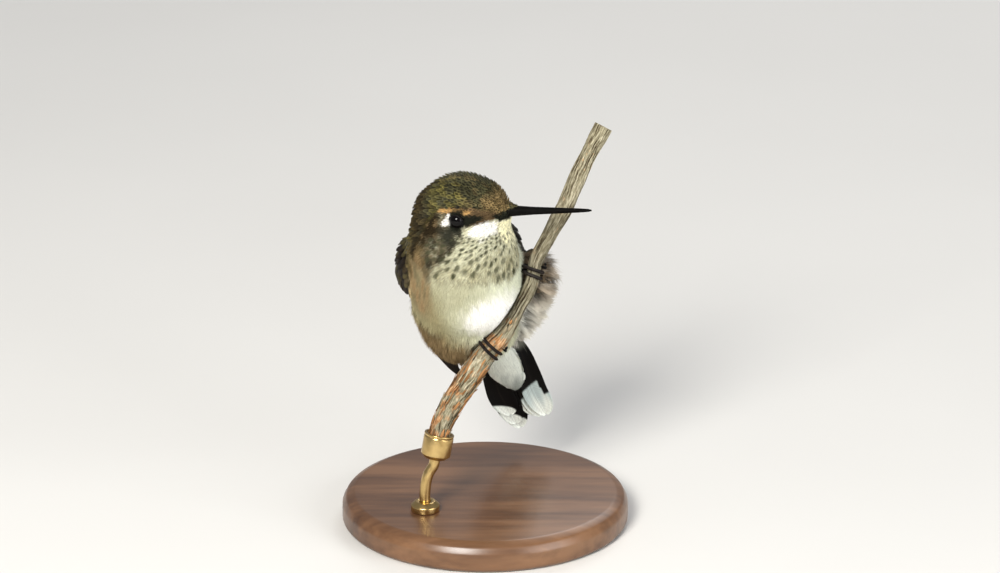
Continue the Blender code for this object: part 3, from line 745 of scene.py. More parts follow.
def model_vane(name, columns, widths, arch):
    """A unit feather: 1 wide, 1 long, root at the origin, with its share of the width from root to tip."""
    rows = len(widths) - 1
    bpy.ops.object.select_all(action="DESELECT")
    bpy.ops.mesh.primitive_grid_add(x_subdivisions=columns, y_subdivisions=rows, size=1, location=(0, 0, 0))
    obj = bpy.context.object
    obj.name = name
    obj.location.y = 0.5
    settle(obj)
    bpy.ops.object.mode_set(mode="EDIT")
    bpy.ops.mesh.select_mode(type="VERT")
    for row, width in enumerate(widths):
        bpy.ops.mesh.select_all(action="DESELECT")
        select_row(obj, row / rows)
        bpy.ops.transform.resize(value=(width, 1, 1), center_override=(0, row / rows, 0))
    bpy.ops.object.mode_set(mode="OBJECT")
    for vertex in obj.data.vertices:
        vertex.co.z = -arch * (2 * vertex.co.x) ** 2
    points = coordinates(obj.data)
    faces = np.array([face.vertices[:] for face in obj.data.polygons])
    bpy.data.objects.remove(obj)
    return {"points": points, "faces": faces, "rows": rows}


BODY_VANE = model_vane("body_vane", 4, (0.45, 0.85, 1.0, 1.0, 0.86, 0.42), 0.10)
SMALL_VANE = model_vane("small_vane", 2, (0.55, 1.0, 0.95, 0.4), 0.14)
LONG_VANE = model_vane("long_vane", 4, (0.5, 0.8, 0.95, 1.0, 1.0, 0.92, 0.72, 0.25), 0.05)
BARB = model_vane("barb", 1, (0.9, 1.0, 0.75, 0.12), 0.0)
print("faces of a body vane:", len(BODY_VANE["faces"]))

# %% [markdown]
# A coat has far too many feathers for an object each, so all the copies of one kind become one mesh. Each
# copy follows rails: a short stretch of skin along the lie of the coat, found step by step. The copies vary
# in length, width, turn and tone, as real feathers do, and those that would cross the twig are left out.


# %% Lay copies of a template along the coat
def build_mesh(name, points, faces, colours, maps):
    """One object from arrays: points and colours per point, and a dictionary of maps per corner."""
    mesh = bpy.data.meshes.new(name)
    mesh.vertices.add(len(points))
    mesh.vertices.foreach_set("co", points.astype(np.float32).ravel())
    mesh.loops.add(faces.size)
    mesh.loops.foreach_set("vertex_index", faces.astype(np.int32).ravel())
    mesh.polygons.add(len(faces))
    mesh.polygons.foreach_set("loop_start", np.arange(0, faces.size, 4, dtype=np.int32))
    mesh.polygons.foreach_set("use_smooth", np.ones(len(faces), bool))
    mesh.update(calc_edges=True)
    colour_vertices(mesh, "Plumage", colours)
    for title, values in maps.items():
        layer = mesh.uv_layers.new(name=title)
        layer.data.foreach_set("uv", values[faces.ravel()].astype(np.float32).ravel())
    obj = bpy.data.objects.new(name, mesh)
    bpy.context.scene.collection.objects.link(obj)
    return obj


class Rails:
    """The lines along which copies are bent: one for each root, a stretch of skin as long as the feather."""

    def __init__(self, roots, lengths, rows, free):
        at, up = roots["points"], roots["normals"]
        self.at, self.up, self.heading = [], [], []
        for row in range(rows + 1):
            if row:
                ahead = at + self.heading[-1] * (lengths / rows)[:, None]
                at, turned_up = nearest_on_skin(ahead)
                at = at * (1 - free) + ahead * free
                up = unit(turned_up * (1 - free) + up * free)
            self.at.append(at)
            self.up.append(up)
            heading = lie(at, up)
            self.heading.append(unit(heading * (1 - free) + self.heading[-1] * free) if row else heading)
        self.at, self.up, self.heading = (np.array(v) for v in (self.at, self.up, self.heading))
        self.rows = rows

    def along(self, which, share):
        """Place, normal and heading at a share of the length, for the rails numbered which."""
        low = np.clip(np.floor(share * self.rows).astype(int), 0, self.rows - 1)
        part = (share * self.rows - low)[..., None]
        mixed = [track[low, which] * (1 - part) + track[low + 1, which] * part
                 for track in (self.at, self.up, self.heading)]
        return mixed[0], unit(mixed[1]), unit(mixed[2])


def lay(name, roots, template, length, width, stand, seed, tones=(0.8, 1.15), shade=0.6, spread=6.0,
        stretch=0.15, bundle=(1, 0.0, 0.0), marks=1.0, marked=1.0, blur=0.12, curl=1.0, free=0.0,
        fade=(0.0, 0.65), tip=None, over=None):
    """Lay copies of the template from the roots along the lie of the coat.

    length, width and stand (the tip's height over the skin) are in millimetres, spread is the random turn in
    degrees and stretch the random share taken off the length. shade is the brightness at the root, painted
    shade where the copies lie under each other, and fade says from where to where along the copy it goes. A
    bundle is how many copies share a root, how far apart they start, and how much of that they close by the
    tip. free is how far the copies leave the skin's curve and go straight on, curl how late they rise from
    it, and blur how far off a copy may take its colour.
    marks is the weakest strength of the mark on a vane, which marked scales root by root. tip is a colour
    for the ends and its strength, and over(points, colours) may repaint every point.
    """
    draw = np.random.default_rng(seed)
    many = len(roots["points"])
    lengths = np.broadcast_to(length, many) * MM
    rails = Rails(roots, lengths, template["rows"], free)
    times, apart, gather = bundle
    which = np.repeat(np.arange(many), times)
    count = len(which)
    x, y, z = template["points"].T
    reach = 1 - draw.uniform(0, stretch, count)
    size = 1 + draw.normal(0, 0.1, count).clip(-0.25, 0.25)
    widths = np.broadcast_to(width, many)[which] * MM * size
    stands = np.broadcast_to(stand, many)[which] * MM * (1 + draw.normal(0, 0.12, count))
    turns = np.tan(np.radians(draw.normal(0, spread, count)))
    starts = draw.normal(0, apart * MM, (count, 2))
    share = reach[:, None] * y[None]
    at, up, heading = rails.along(np.broadcast_to(which[:, None], share.shape), share)
    side = np.cross(heading, up)
    closing = 1 - gather * y[None]
    leaning = turns[:, None] * share * lengths[which][:, None]
    sideways = x * widths[:, None] + leaning + starts[:, :1] * closing
    forward = starts[:, 1:] * closing
    height = stands[:, None] * (0.06 + 0.94 * y ** curl) + z * widths[:, None]
    points = at + side * sideways[..., None] + heading * forward[..., None] + up * height[..., None]
    halfway = points[:, np.argmin(np.abs(y - 0.6) + 0.01 * np.abs(x))]
    colours = np.ones((count, len(x), 4))
    base = plumage(halfway + draw.normal(0, blur * MM, halfway.shape))
    # The roots are painted darker: painted shade where each copy lies under its neighbours.
    painted_root_shade = np.broadcast_to(shade, many)[which][:, None]
    shade_along_copy = painted_root_shade + (1 - painted_root_shade) * ramp(y, *fade)[None]
    tone = draw.uniform(*tones, count)
    if times > 1:
        tone = np.sqrt(tone) * draw.uniform(*tones, many)[which]
    colours[..., :3] = base[:, None] * shade_along_copy[..., None] * tone[:, None, None]
    if tip:
        ends = ramp(y, 0.45, 0.95)[None, :, None] * tip[1] * draw.uniform(0.5, 1, count)[:, None, None]
        colours[..., :3] = colours[..., :3] * (1 - ends) + np.array(tip[0]) * ends
    colours[..., 3] = (draw.uniform(marks, 1.0, count) * np.broadcast_to(marked, many)[which])[:, None]
    clear = ~crosses_twig(points)
    points, colours, which, count = points[clear], colours[clear], which[clear], int(clear.sum())
    points, colours = points.reshape(-1, 3), colours.reshape(-1, 4)
    if over:
        colours[:, :3] = over(points, colours[:, :3])
    faces = (template["faces"][None] + (np.arange(count) * len(x))[:, None, None]).reshape(-1, 4)
    bake = roots["map"][which][:, None] + np.stack([x, y - 0.5], axis=1)[None] * PATCH
    vane = np.broadcast_to(np.stack([x + 0.5, y], axis=1), (count, len(x), 2))
    maps = {"OFBake": bake.reshape(-1, 2), "Vane": vane.reshape(-1, 2)}
    obj = build_mesh(name, points, faces, colours, maps)
    print(name, "copies:", count, "triangles:", 2 * len(faces))
    return obj


# %% [markdown]
# ## The plumage material
# A feather's colour sits in its barbs, which are fine, dull and slightly silky. The material takes its
# colour from the mesh and breaks it up with streaks that run along each vane.


# %% Materials for feathers
def new_material(name, roughness, metallic=0.0, specular=0.5):
    made = bpy.data.materials.new(name)
    made.use_nodes = True
    shader = made.node_tree.nodes["Principled BSDF"]
    shader.inputs["Roughness"].default_value = roughness
    shader.inputs["Metallic"].default_value = metallic
    shader.inputs["Specular IOR Level"].default_value = specular
    return made, made.node_tree, shader


def add_node(tree, kind, **settings):
    node = tree.nodes.new(kind)
    for key, value in settings.items():
        setattr(node, key, value)
    return node


def mix_colours(tree, factor, first, second, blend="MIX"):
    """A Mix node for colours; each input is a socket or a plain value."""
    node = add_node(tree, "ShaderNodeMix", data_type="RGBA", blend_type=blend)
    sockets = (node.inputs["Factor"], node.inputs[6], node.inputs[7])
    for socket, value in zip(sockets, (factor, first, second)):
        if isinstance(value, bpy.types.NodeSocket):
            tree.links.new(value, socket)
        elif isinstance(value, (int, float)):
            socket.default_value = value
        else:
            socket.default_value = (*value, 1)
    return node.outputs[2]


def colour_ramp(tree, source, stops):
    node = add_node(tree, "ShaderNodeValToRGB")
    for number, (place, colour) in enumerate(stops):
        stop = node.color_ramp.elements[number] if number < 2 else node.color_ramp.elements.new(place)
        stop.position = place
        stop.color = (*colour, 1)
    tree.links.new(source, node.inputs["Fac"])
    return node.outputs["Color"]


def noise(tree, vector, scale, detail=4.0, stretch=(1, 1, 1)):
    mapping = add_node(tree, "ShaderNodeMapping")
    mapping.inputs["Scale"].default_value = stretch
    tree.links.new(vector, mapping.inputs["Vector"])
    node = add_node(tree, "ShaderNodeTexNoise")
    node.inputs["Scale"].default_value = scale
    node.inputs["Detail"].default_value = detail
    tree.links.new(mapping.outputs["Vector"], node.inputs["Vector"])
    return node.outputs["Fac"]


def maths(tree, operation, *values):
    node = add_node(tree, "ShaderNodeMath", operation=operation)
    for socket, value in zip(node.inputs, values):
        if isinstance(value, bpy.types.NodeSocket):
            tree.links.new(value, socket)
        else:
            socket.default_value = value
    return node.outputs[0]


def add_bump(tree, shader, height, strength, distance):
    node = add_node(tree, "ShaderNodeBump")
    node.inputs["Strength"].default_value = strength
    node.inputs["Distance"].default_value = distance
    tree.links.new(height, node.inputs["Height"])
    tree.links.new(node.outputs["Normal"], shader.inputs["Normal"])


def grained_material(name, roughness, scale, stops, detail=4.0, metallic=0.0, specular=0.5, bump=None):
    """A finish coloured by a fine grain through the piece; bump is the grain's strength and depth."""
    made, tree, shader = new_material(name, roughness, metallic, specular)
    place = add_node(tree, "ShaderNodeTexCoord").outputs["Object"]
    grain = noise(tree, place, scale, detail)
    tree.links.new(colour_ramp(tree, grain, stops), shader.inputs["Base Color"])
    if bump:
        add_bump(tree, shader, grain, *bump)
    return made


def plumage_material(name, roughness, specular, streak, mark=None):
    """Plumage in the mesh's own colours. mark is the middle and reach of an oval on each vane, and how much
    darker its middle and paler its edge are; the mark's strength is the alpha of the colour attribute."""
    made, tree, shader = new_material(name, roughness, specular=specular)
    source = add_node(tree, "ShaderNodeAttribute", attribute_name="Plumage")
    tint = source.outputs["Color"]
    vane = add_node(tree, "ShaderNodeUVMap", uv_map="Vane").outputs["UV"]
    barbs = noise(tree, vane, 9.0, 3.0, (3.0, 0.9, 1.0))
    if mark:
        middle, reach, dark, pale = mark
        split = add_node(tree, "ShaderNodeSeparateXYZ")
        tree.links.new(vane, split.inputs[0])
        across = maths(tree, "DIVIDE", maths(tree, "SUBTRACT", split.outputs[0], 0.5), reach[0])
        along = maths(tree, "DIVIDE", maths(tree, "SUBTRACT", split.outputs[1], middle), reach[1])
        away = maths(tree, "SQRT", maths(tree, "ADD", maths(tree, "POWER", across, 2.0),
                                         maths(tree, "POWER", along, 2.0)))
        away = maths(tree, "ADD", away, maths(tree, "MULTIPLY_ADD", barbs, 0.6, -0.3))
        share = colour_ramp(tree, away, ((0.45, (1, 1, 1)), (1.0, (0, 0, 0))))
        share = maths(tree, "MULTIPLY", share, source.outputs["Alpha"])
        tint = mix_colours(tree, 1.0, tint, mix_colours(tree, share, (pale,) * 3, (dark,) * 3), "MULTIPLY")
    shading = colour_ramp(tree, barbs, ((0.30, (1 - streak,) * 3), (0.70, (1 + streak * 0.35,) * 3)))
    tree.links.new(mix_colours(tree, 1.0, tint, shading, "MULTIPLY"), shader.inputs["Base Color"])
    add_bump(tree, shader, barbs, 0.25, 0.05 * MM)
    return made


SOFT_COAT = plumage_material("soft plumage", 0.85, 0.08, 0.18)
CROWN_COAT = plumage_material("crown plumage", 0.6, 0.08, 0.30, (0.62, (0.40, 0.42), 0.24, 2.1))
BACK_COAT = plumage_material("back plumage", 0.50, 0.15, 0.30, (0.75, (0.46, 0.34), 1.25, 0.55))

skin_material, skin_nodes, skin_shader = new_material("skin under the coat", 0.9, specular=0.05)
skin_tint = add_node(skin_nodes, "ShaderNodeAttribute", attribute_name="Plumage").outputs["Color"]
skin_place = add_node(skin_nodes, "ShaderNodeTexCoord").outputs["Object"]
# The skin is painted at 0.35 to 0.65 of the coat's colours over it: painted shade in the gaps between feathers.
skin_grain = noise(skin_nodes, skin_place, 1800.0)
skin_shade = colour_ramp(skin_nodes, skin_grain, ((0.3, (0.35,) * 3), (0.7, (0.65,) * 3)))
skin_colour = mix_colours(skin_nodes, 1.0, skin_tint, skin_shade, "MULTIPLY")
skin_nodes.links.new(skin_colour, skin_shader.inputs["Base Color"])
finish_piece(skin, skin_material, *FLESH, slot="breast_plumage")
skin.data.shade_smooth()

# %% [markdown]
# ## Crown and nape
# The forehead has the smallest feathers of the bird, dark with pale edges like tiny scales. They grow
# larger towards the nape, where their middles shine golden olive. So the spacing of the roots, and with it
# the size of each feather, depends on the place along the head.

# %% Crown feathers
FOREMOST = -12.2              # the first feathers over the bill, along the head


def places(points):
    return seen_from(HEAD, points), seen_from(TRUNK, points)


def on_head_area(points):
    _, trunk = places(points)
    front = (trunk[:, 1] < 3.2) & (trunk[:, 2] > throat_edge(trunk[:, 0]))
    return front | (trunk[:, 2] > 14.8)


def crown_area(points):
    head, trunk = places(points)
    above = head[:, 2] - crown_edge(head[:, 1]) > -0.1
    behind = (head[:, 1] > 5.4) & (trunk[:, 1] > 3.0)
    return on_head_area(points) & (above | behind) & (head[:, 1] > FOREMOST)


def crown_spacing(points):
    y = seen_from(HEAD, points)[:, 1]
    return 0.46 + 0.20 * ramp(y, -7.5, -2.5) + 0.12 * ramp(y, 1.0, 8.0)


crown_roots = scatter(crown_area, crown_spacing, seed=1)
crown_size = crown_spacing(crown_roots["points"])
# Towards the nape the roots darken: the feathers' own dark bases, deepened with painted shade where they
# overlap.
to_the_rear = ramp(seen_from(HEAD, crown_roots["points"])[:, 1], -1.0, 4.0)
crown = lay("crown_feathers", crown_roots, SMALL_VANE, crown_size * 2.1, crown_size * 1.15,
            0.26 + 0.48 * crown_size, seed=2, tones=(0.55, 1.45), marks=0.75,
            marked=1 - 0.55 * to_the_rear, shade=1 - 0.6 * to_the_rear, fade=(0.35, 0.85), curl=1.3)
finish_piece(crown, CROWN_COAT, slot="crown_plumage")

# %% [markdown]
# ## Face and throat
# The feathers of the face are so small that they read as fine hair. Dusky spots run over the throat in rows
# that fan out from the chin. They are drawn as a pattern over the whole throat first, tiny below the bill
# and largest at the throat's lower edge, and every barb then takes the colour of the place where it lies.


# %% The throat's spots
def throat_area(points):
    head, trunk = places(points)
    side, y, z = np.abs(head[:, 0]), head[:, 1], head[:, 2]
    front = (trunk[:, 1] < 2.5) & (trunk[:, 2] > throat_edge(trunk[:, 0]) + 0.2)
    top = -3.3 - 1.2 * ramp(y, -2.8, -4.4) - 0.7 * ramp(side, 3.4, 2.4)
    return front & (z < top) & (y < 5.2) & (y > -10.2)


def spot_spacing(points):
    head = seen_from(HEAD, points)
    drop = ramp(head[:, 2] - 0.35 * (head[:, 1] + 3.0), -3.0, -11.0)
    return 0.74 + 0.84 * drop + 0.10 * ramp(np.abs(head[:, 0]), 4.0, 8.0)


spot_roots = scatter(throat_area, spot_spacing, seed=5)
spot_along = lie(spot_roots["points"], spot_roots["normals"])
spot_across = np.cross(spot_along, spot_roots["normals"])
spot_draw = np.random.default_rng(6)
spot_size = spot_spacing(spot_roots["points"]) * spot_draw.uniform(0.85, 1.25, len(spot_along))
spot_strength = spot_draw.uniform(0.62, 1.0, len(spot_along))


def spotted(points, colours):
    """Repaint the points that fall into a spot."""
    dusk = np.zeros(len(points))
    rough = 0.25 * mottle(points, 0.28, 51)
    spots = zip(spot_roots["points"], spot_along, spot_across, spot_size, spot_strength)
    for centre, along, across, size, strength in spots:
        offset = points - centre
        close = np.flatnonzero((np.abs(offset) < MM * size).all(axis=1))
        lengthways = offset[close] @ along / (0.50 * size * MM)
        half_width = 0.26 + 0.08 * ramp(size, 0.9, 1.6) + 0.07 * lengthways.clip(-1, 1)
        sideways = offset[close] @ across / (half_width * size * MM)
        from_middle = np.hypot(lengthways, sideways) + rough[close]
        dusk[close] = np.maximum(dusk[close], near(from_middle, 0.5, 1.2) * strength)
    return paint(colours, THROAT_DUSK, dusk)


print("throat spots:", len(spot_along))

# %% [markdown]
# The face could be one painted surface, but its edge against the light would then be hard. Single barbs
# laid very close give it the short nap of the real bird. They are shortest round the eye, so that none
# hangs over it. The skin between them takes the same colours, darkened there as painted shade.

# %% Face and throat barbs
FACE_FOOT = -4.0              # below this height of the head the barbs belong to the throat


def face_area(points):
    head, trunk = places(points)
    below_crown = head[:, 2] - crown_edge(head[:, 1]) < 0.25
    eye = (oval(head[:, 1], head[:, 2], EYE_AT[1:], (1.0, 1.0)) < 1.5) & (np.abs(head[:, 0]) > 4.0)
    ahead = (head[:, 1] < 6.6) | (trunk[:, 1] <= 3.0)
    return on_head_area(points) & below_crown & ahead & (head[:, 1] > FOREMOST) & ~eye


def upper_face_area(points):
    return face_area(points) & (seen_from(HEAD, points)[:, 2] > FACE_FOOT)


def lower_face_area(points):
    return face_area(points) & (seen_from(HEAD, points)[:, 2] <= FACE_FOOT)


for piece_name, area, seed, spacing in (("face_barbs", upper_face_area, 11, 0.125),
                                        ("throat_barbs", lower_face_area, 13, 0.135)):
    barb_roots = scatter(area, spacing, seed=seed, even=False)
    head_places, _ = places(barb_roots["points"])
    drop = ramp(head_places[:, 2], -2.0, -10.0)
    eye_distance = np.linalg.norm(barb_roots["points"][:, None] - EYES[None], axis=2).min(axis=1) / MM
    barb_length = (0.75 + 0.65 * drop) * (0.45 + 0.55 * ramp(eye_distance, 1.8, 3.2))
    barbs = lay(piece_name, barb_roots, BARB, barb_length, 0.13 + 0.03 * drop, 0.30 + 0.15 * drop,
                seed=seed + 1, tones=(0.55, 1.36), spread=9.0, shade=0.75, blur=0.16, over=spotted)
    finish_piece(barbs, SOFT_COAT, slot="crown_plumage")

skin_points = coordinates(skin.data)
skin_rgba = np.ones((len(skin_points), 4))
skin_rgba[:, :3] = spotted(skin_points, plumage(skin_points))
colour_vertices(skin.data, "Plumage", skin_rgba)

# %% [markdown]
# ## Breast, belly and flanks
# Below the throat the feathers are loose. Their barbs don't hook together, so the surface reads as soft
# hair. A layer of broad vanes hides the skin, and many single barbs lie over them.

# %% Body vanes under the barbs
BELLY_TOP = 3.5               # the belly begins this high in the trunk's frame


def under_tail_area(points):
    tail = seen_from(TAIL, points)
    return (tail[:, 2] < 0.5) & (tail[:, 1] < 1.0) & (np.abs(tail[:, 0]) < 6.0)


def arm_area(points):
    x, y, z = seen_from(TRUNK, points).T
    inside = ((np.abs(x) - 9.2) / 4.6) ** 2 + ((y - 5.4) / 6.6) ** 2 + ((z - 3.8) / 8.8) ** 2 < 1
    return inside & (np.abs(x) > 10.5)


def front_area(points):
    _, trunk = places(points)
    front = (trunk[:, 1] < 3.2) & ~on_head_area(points)
    return front & ~under_tail_area(points) & ~(arm_area(points) & (trunk[:, 1] > 0.5))


def back_area(points):
    _, trunk = places(points)
    back = (trunk[:, 1] >= 2.6) & (trunk[:, 2] < 15.5)
    return (back | (arm_area(points) & (trunk[:, 1] > -0.5))) & ~under_tail_area(points)


front_roots = scatter(front_area, 1.35, seed=7)
front_depth = coat_depth(front_roots["points"]) / MM
front = lay("breast_vanes", front_roots, BODY_VANE, 3.0, 1.9, front_depth * 0.6, seed=8, tones=(0.9, 1.05),
            shade=0.8)
finish_piece(front, SOFT_COAT, slot="breast_plumage")

back_roots = scatter(back_area, 1.1, seed=9)
back_depth = coat_depth(back_roots["points"]) / MM
back = lay("back_feathers", back_roots, BODY_VANE, 2.6, 1.45, back_depth * 0.9, seed=10, tones=(0.65, 1.35),
           marks=0.8, shade=1.0)
finish_piece(back, BACK_COAT, slot="crown_plumage")

# %% [markdown]
# The barbs over the vanes are single fine strips, rooted about a seventh of a millimetre apart. They are
# longer on the belly than on the breast, where the coat is closer.


# %% Loose barbs of the breast and belly
def breast_area(points):
    return front_area(points) & (seen_from(TRUNK, points)[:, 2] > BELLY_TOP)


def belly_area(points):
    trunk = seen_from(TRUNK, points)
    return front_area(points) & (trunk[:, 2] <= BELLY_TOP) & (trunk[:, 0] < flank_edge(trunk[:, 2]) + 0.5)


for piece_name, area, seed, barb_length in (("breast_barbs", breast_area, 15, 1.9),
                                            ("belly_barbs", belly_area, 17, 2.5)):
    barb_roots = scatter(area, 0.145, seed=seed, even=False)
    barb_depth = coat_depth(barb_roots["points"]) / MM
    barbs = lay(piece_name, barb_roots, BARB, barb_length, 0.10, barb_depth * 0.9, seed=seed + 1,
                tones=(0.80, 1.16), spread=9.0, stretch=0.35, shade=0.72)
    finish_piece(barbs, SOFT_COAT, slot="breast_plumage")

# %% [markdown]
# On the left flank and along the lower belly the bird has fluffed its plumage against the cold. The barbs
# there gather into pointed tufts that stand away from each other, with dark gaps between them. The gaps
# are painted shade: the barbs darken towards their roots, almost to black on the flank.


# %% Fluffed tufts
def flank_area(points):
    trunk = seen_from(TRUNK, points)
    return front_area(points) & (trunk[:, 0] > flank_edge(trunk[:, 2]) - 0.3) & (trunk[:, 2] < 8.6)


def lower_belly_area(points):
    trunk = seen_from(TRUNK, points)
    return front_area(points) & (trunk[:, 2] < 0.5) & (trunk[:, 0] <= 9.5)


flank_roots = scatter(flank_area, 1.25, seed=19)
# The roots are painted almost black, as the shade between the tufts.
flank = lay("flank_tufts", flank_roots, BARB, 4.6, 0.15, 3.1, seed=20, tones=(0.55, 1.35), spread=5.0,
            stretch=0.45, shade=0.06, bundle=(44, 0.42, 0.85), curl=1.15, tip=((0.66, 0.60, 0.50), 0.7))
finish_piece(flank, SOFT_COAT, slot="breast_plumage")

low_roots = scatter(lower_belly_area, 0.95, seed=21)
# Their darker roots are partly grey down and partly painted shade between the tufts.
low_tufts = lay("belly_tufts", low_roots, BARB, 3.2, 0.12, 1.35, seed=22, tones=(0.7, 1.3), spread=7.0,
                stretch=0.4, shade=0.4, bundle=(20, 0.5, 0.7), curl=1.3)
finish_piece(low_tufts, SOFT_COAT, slot="breast_plumage")

# %% [markdown]
# Under the tail the feathers are long, broad and smooth again. They lie close, one over the other, and only
# their pale edges show.


# %% Undertail feathers
def under_tail_before(short):
    """The area under the tail that stops short of its end by so many millimetres."""
    def area(points):
        tail = seen_from(TAIL, points)
        beside = tail[:, 0] < 1.2 + 0.23 * (tail[:, 2] + 16.2) + np.where(tail[:, 2] > -8.0, 9.0, 0.0)
        above_end = tail[:, 2] > undertail_end(tail[:, 0]) + short
        return under_tail_area(points) & above_end & (beside | (short < 3.0))
    return area


under_roots = scatter(under_tail_before(4.1), 0.8, seed=23)
under_vanes = lay("undertail_vanes", under_roots, LONG_VANE, 4.6, 1.5, 0.22, seed=24, tones=(0.8, 1.12),
                  shade=0.9, spread=4.0, blur=0.2, free=0.5)
finish_piece(under_vanes, SOFT_COAT, slot="undertail_plumage")
under_barb_roots = scatter(under_tail_before(1.9), 0.13, seed=25, even=False)
under_barbs = lay("undertail_barbs", under_barb_roots, BARB, 2.4, 0.10, 0.42, seed=26, tones=(0.82, 1.15),
                  spread=6.0, shade=0.85, free=0.4)
finish_piece(under_barbs, SOFT_COAT, slot="undertail_plumage")

# %% [markdown]
# ## Flight feathers
# A flight feather is a stiff blade on a pale shaft. The blade starts as a flat grid, which is given the
# outline and the arch of a real vane. A wing blade is pushed out until it clears the coat below it, and its
# root sinks to the skin, where the real quill is held.

# %% A blade for flight feathers
BLADE_ACROSS = 10
BLADE_ALONG = 44
ROOTED = (0.24, 0.04)         # a wing blade starts to sink here and is at the skin here, from root to tip


def blade_half_width(u, round_from, root):
    """Half width of a blade as a share of its widest, u from root to tip."""
    rising = root + (1 - root) * np.sin(np.pi / 2 * np.minimum(u / round_from, 1))
    past = np.clip((u - round_from) / (1 - round_from), 0, 1)
    return np.where(u < round_from, rising, np.sqrt(1 - 0.985 * past ** 2))


def blade(name, place, shape, clear=None, finer=1):
    """A feather blade whose points are shape(s, u), s across from -1 to 1 and u from root to tip."""
    bpy.ops.object.select_all(action="DESELECT")
    bpy.ops.mesh.primitive_grid_add(x_subdivisions=BLADE_ACROSS * finer,
                                    y_subdivisions=BLADE_ALONG * finer, size=2)
    obj = bpy.context.object
    obj.name = name
    flat = coordinates(obj.data)
    s, u = flat[:, 0], 1 - (1 - (flat[:, 1] + 1) / 2) ** 1.3
    placed = put_in_room(place, shape(s, u))
    if clear is not None:
        on_skin, up = nearest_on_skin(placed)
        height = np.sum((placed - on_skin) * up, axis=1)
        distance = np.linalg.norm(placed - on_skin, axis=1)
        needed = coat_depth(on_skin) * 0.8 + clear * MM
        covered = (height < -0.5 * distance) | (distance < needed)
        rooted = ramp(u, *ROOTED)
        lift = np.where(covered, needed - height, 0) * (1 - rooted) + (0.05 * MM - height) * rooted
        placed = placed + up * lift[:, None]
    move_vertices(obj.data, placed)
    obj.data.uv_layers[0].name = "Vane"
    return obj, s, u


def colour_blade(obj, colour):
    """Give each point of a blade its colour; colour is an array of one row per point."""
    rgba = np.ones((len(obj.data.vertices), 4))
    rgba[:, :3] = colour
    colour_vertices(obj.data, "Plumage", rgba)


def join_blades(name, blades, thickness):
    select_only(*blades)
    bpy.ops.object.join()
    whole = bpy.context.object
    whole.name = name
    whole.data.name = name
    apply_modifier(whole, "SOLIDIFY", thickness=thickness * MM, offset=0.0)
    whole.data.shade_smooth()
    return whole


flight_material, flight_tree, flight_shader = new_material("flight feathers", 0.55, specular=0.12)
flight_tint = add_node(flight_tree, "ShaderNodeAttribute", attribute_name="Plumage").outputs["Color"]
flight_vane = add_node(flight_tree, "ShaderNodeUVMap", uv_map="Vane").outputs["UV"]
flight_split = add_node(flight_tree, "ShaderNodeSeparateXYZ")
flight_tree.links.new(flight_vane, flight_split.inputs[0])
from_shaft = maths(flight_tree, "ABSOLUTE", maths(flight_tree, "SUBTRACT", flight_split.outputs[0], 0.5))
slanted = maths(flight_tree, "MULTIPLY_ADD", from_shaft, -0.22, flight_split.outputs[1])
barb_place = add_node(flight_tree, "ShaderNodeCombineXYZ")
flight_tree.links.new(slanted, barb_place.inputs[1])
flight_barbs = noise(flight_tree, barb_place.outputs[0], 90.0, 2.0)
flight_shade = colour_ramp(flight_tree, flight_barbs, ((0.3, (0.72,) * 3), (0.7, (1.12,) * 3)))
flight_colour = mix_colours(flight_tree, 1.0, flight_tint, flight_shade, "MULTIPLY")
shaft_line = colour_ramp(flight_tree, from_shaft, ((0.018, (1, 1, 1)), (0.034, (0, 0, 0))))
flight_colour = mix_colours(flight_tree, maths(flight_tree, "MULTIPLY", shaft_line, 0.12), flight_colour,
                            (0.05, 0.038, 0.028))
flight_tree.links.new(flight_colour, flight_shader.inputs["Base Color"])
add_bump(flight_tree, flight_shader, flight_barbs, 0.3, 0.06 * MM)

# %% [markdown]
# A folded wing shows its ten primaries stacked along the flank, the outermost lowest, then the shorter
# secondaries, and over their roots a row of green coverts. Every blade of a wing is the same shape with
# other measures, so each row is a loop over one function.

# %% Wings
WRIST = np.array((12.6, 1.5, 10.6))
WING_DROP = 40.6              # from the wrist down to the tip
BLADE_ARCH = 0.10
WING_BROWN = np.array((0.012, 0.008, 0.005))
SECONDARY_BROWN = WING_BROWN * 1.2
WING_EDGE = np.array((0.034, 0.024, 0.014))
COVERT_GREEN = np.array((0.030, 0.026, 0.010))
COVERT_EDGE = WING_EDGE * 1.6


def wing_line(t, side):
    """The folded wing's front edge, t from the wrist to the tip, in the trunk's frame."""
    return np.stack([side * (WRIST[0] - 10.2 * t ** 1.9), WRIST[1] + 2.4 * (1 - (1 - t) ** 2),
                     WRIST[2] - WING_DROP * t], axis=-1)


def wing_blade(name, side, row, begins, ends, half, clear, rim_from, middle, edge):
    """One blade of a folded wing: row counts from the front edge, begins and ends run along it, and the
    colour goes from middle to edge, beginning at a share of the half width."""
    def shape(s, u):
        t = begins + (ends - begins) * u
        chord = (1.0 + 1.8 * row) * (1 - 0.5 * t) + s * half * blade_half_width(u, 0.7, 0.5)
        across = unit(np.stack([-side * (0.7 + 0.3 * t), np.full_like(t, 0.75), np.zeros_like(t)], axis=-1))
        outward = unit(np.array((side, 0.1, 0.0)))
        lift = 0.13 * row - BLADE_ARCH * s * s
        return wing_line(t, side) + across * chord[:, None] + outward * lift[:, None]

    obj, s, _ = blade(name, TRUNK, shape, clear)
    rim = ramp(np.abs(s), rim_from, 1.0)[:, None]
    colour_blade(obj, middle * (1 - rim) + edge * rim)
    return obj


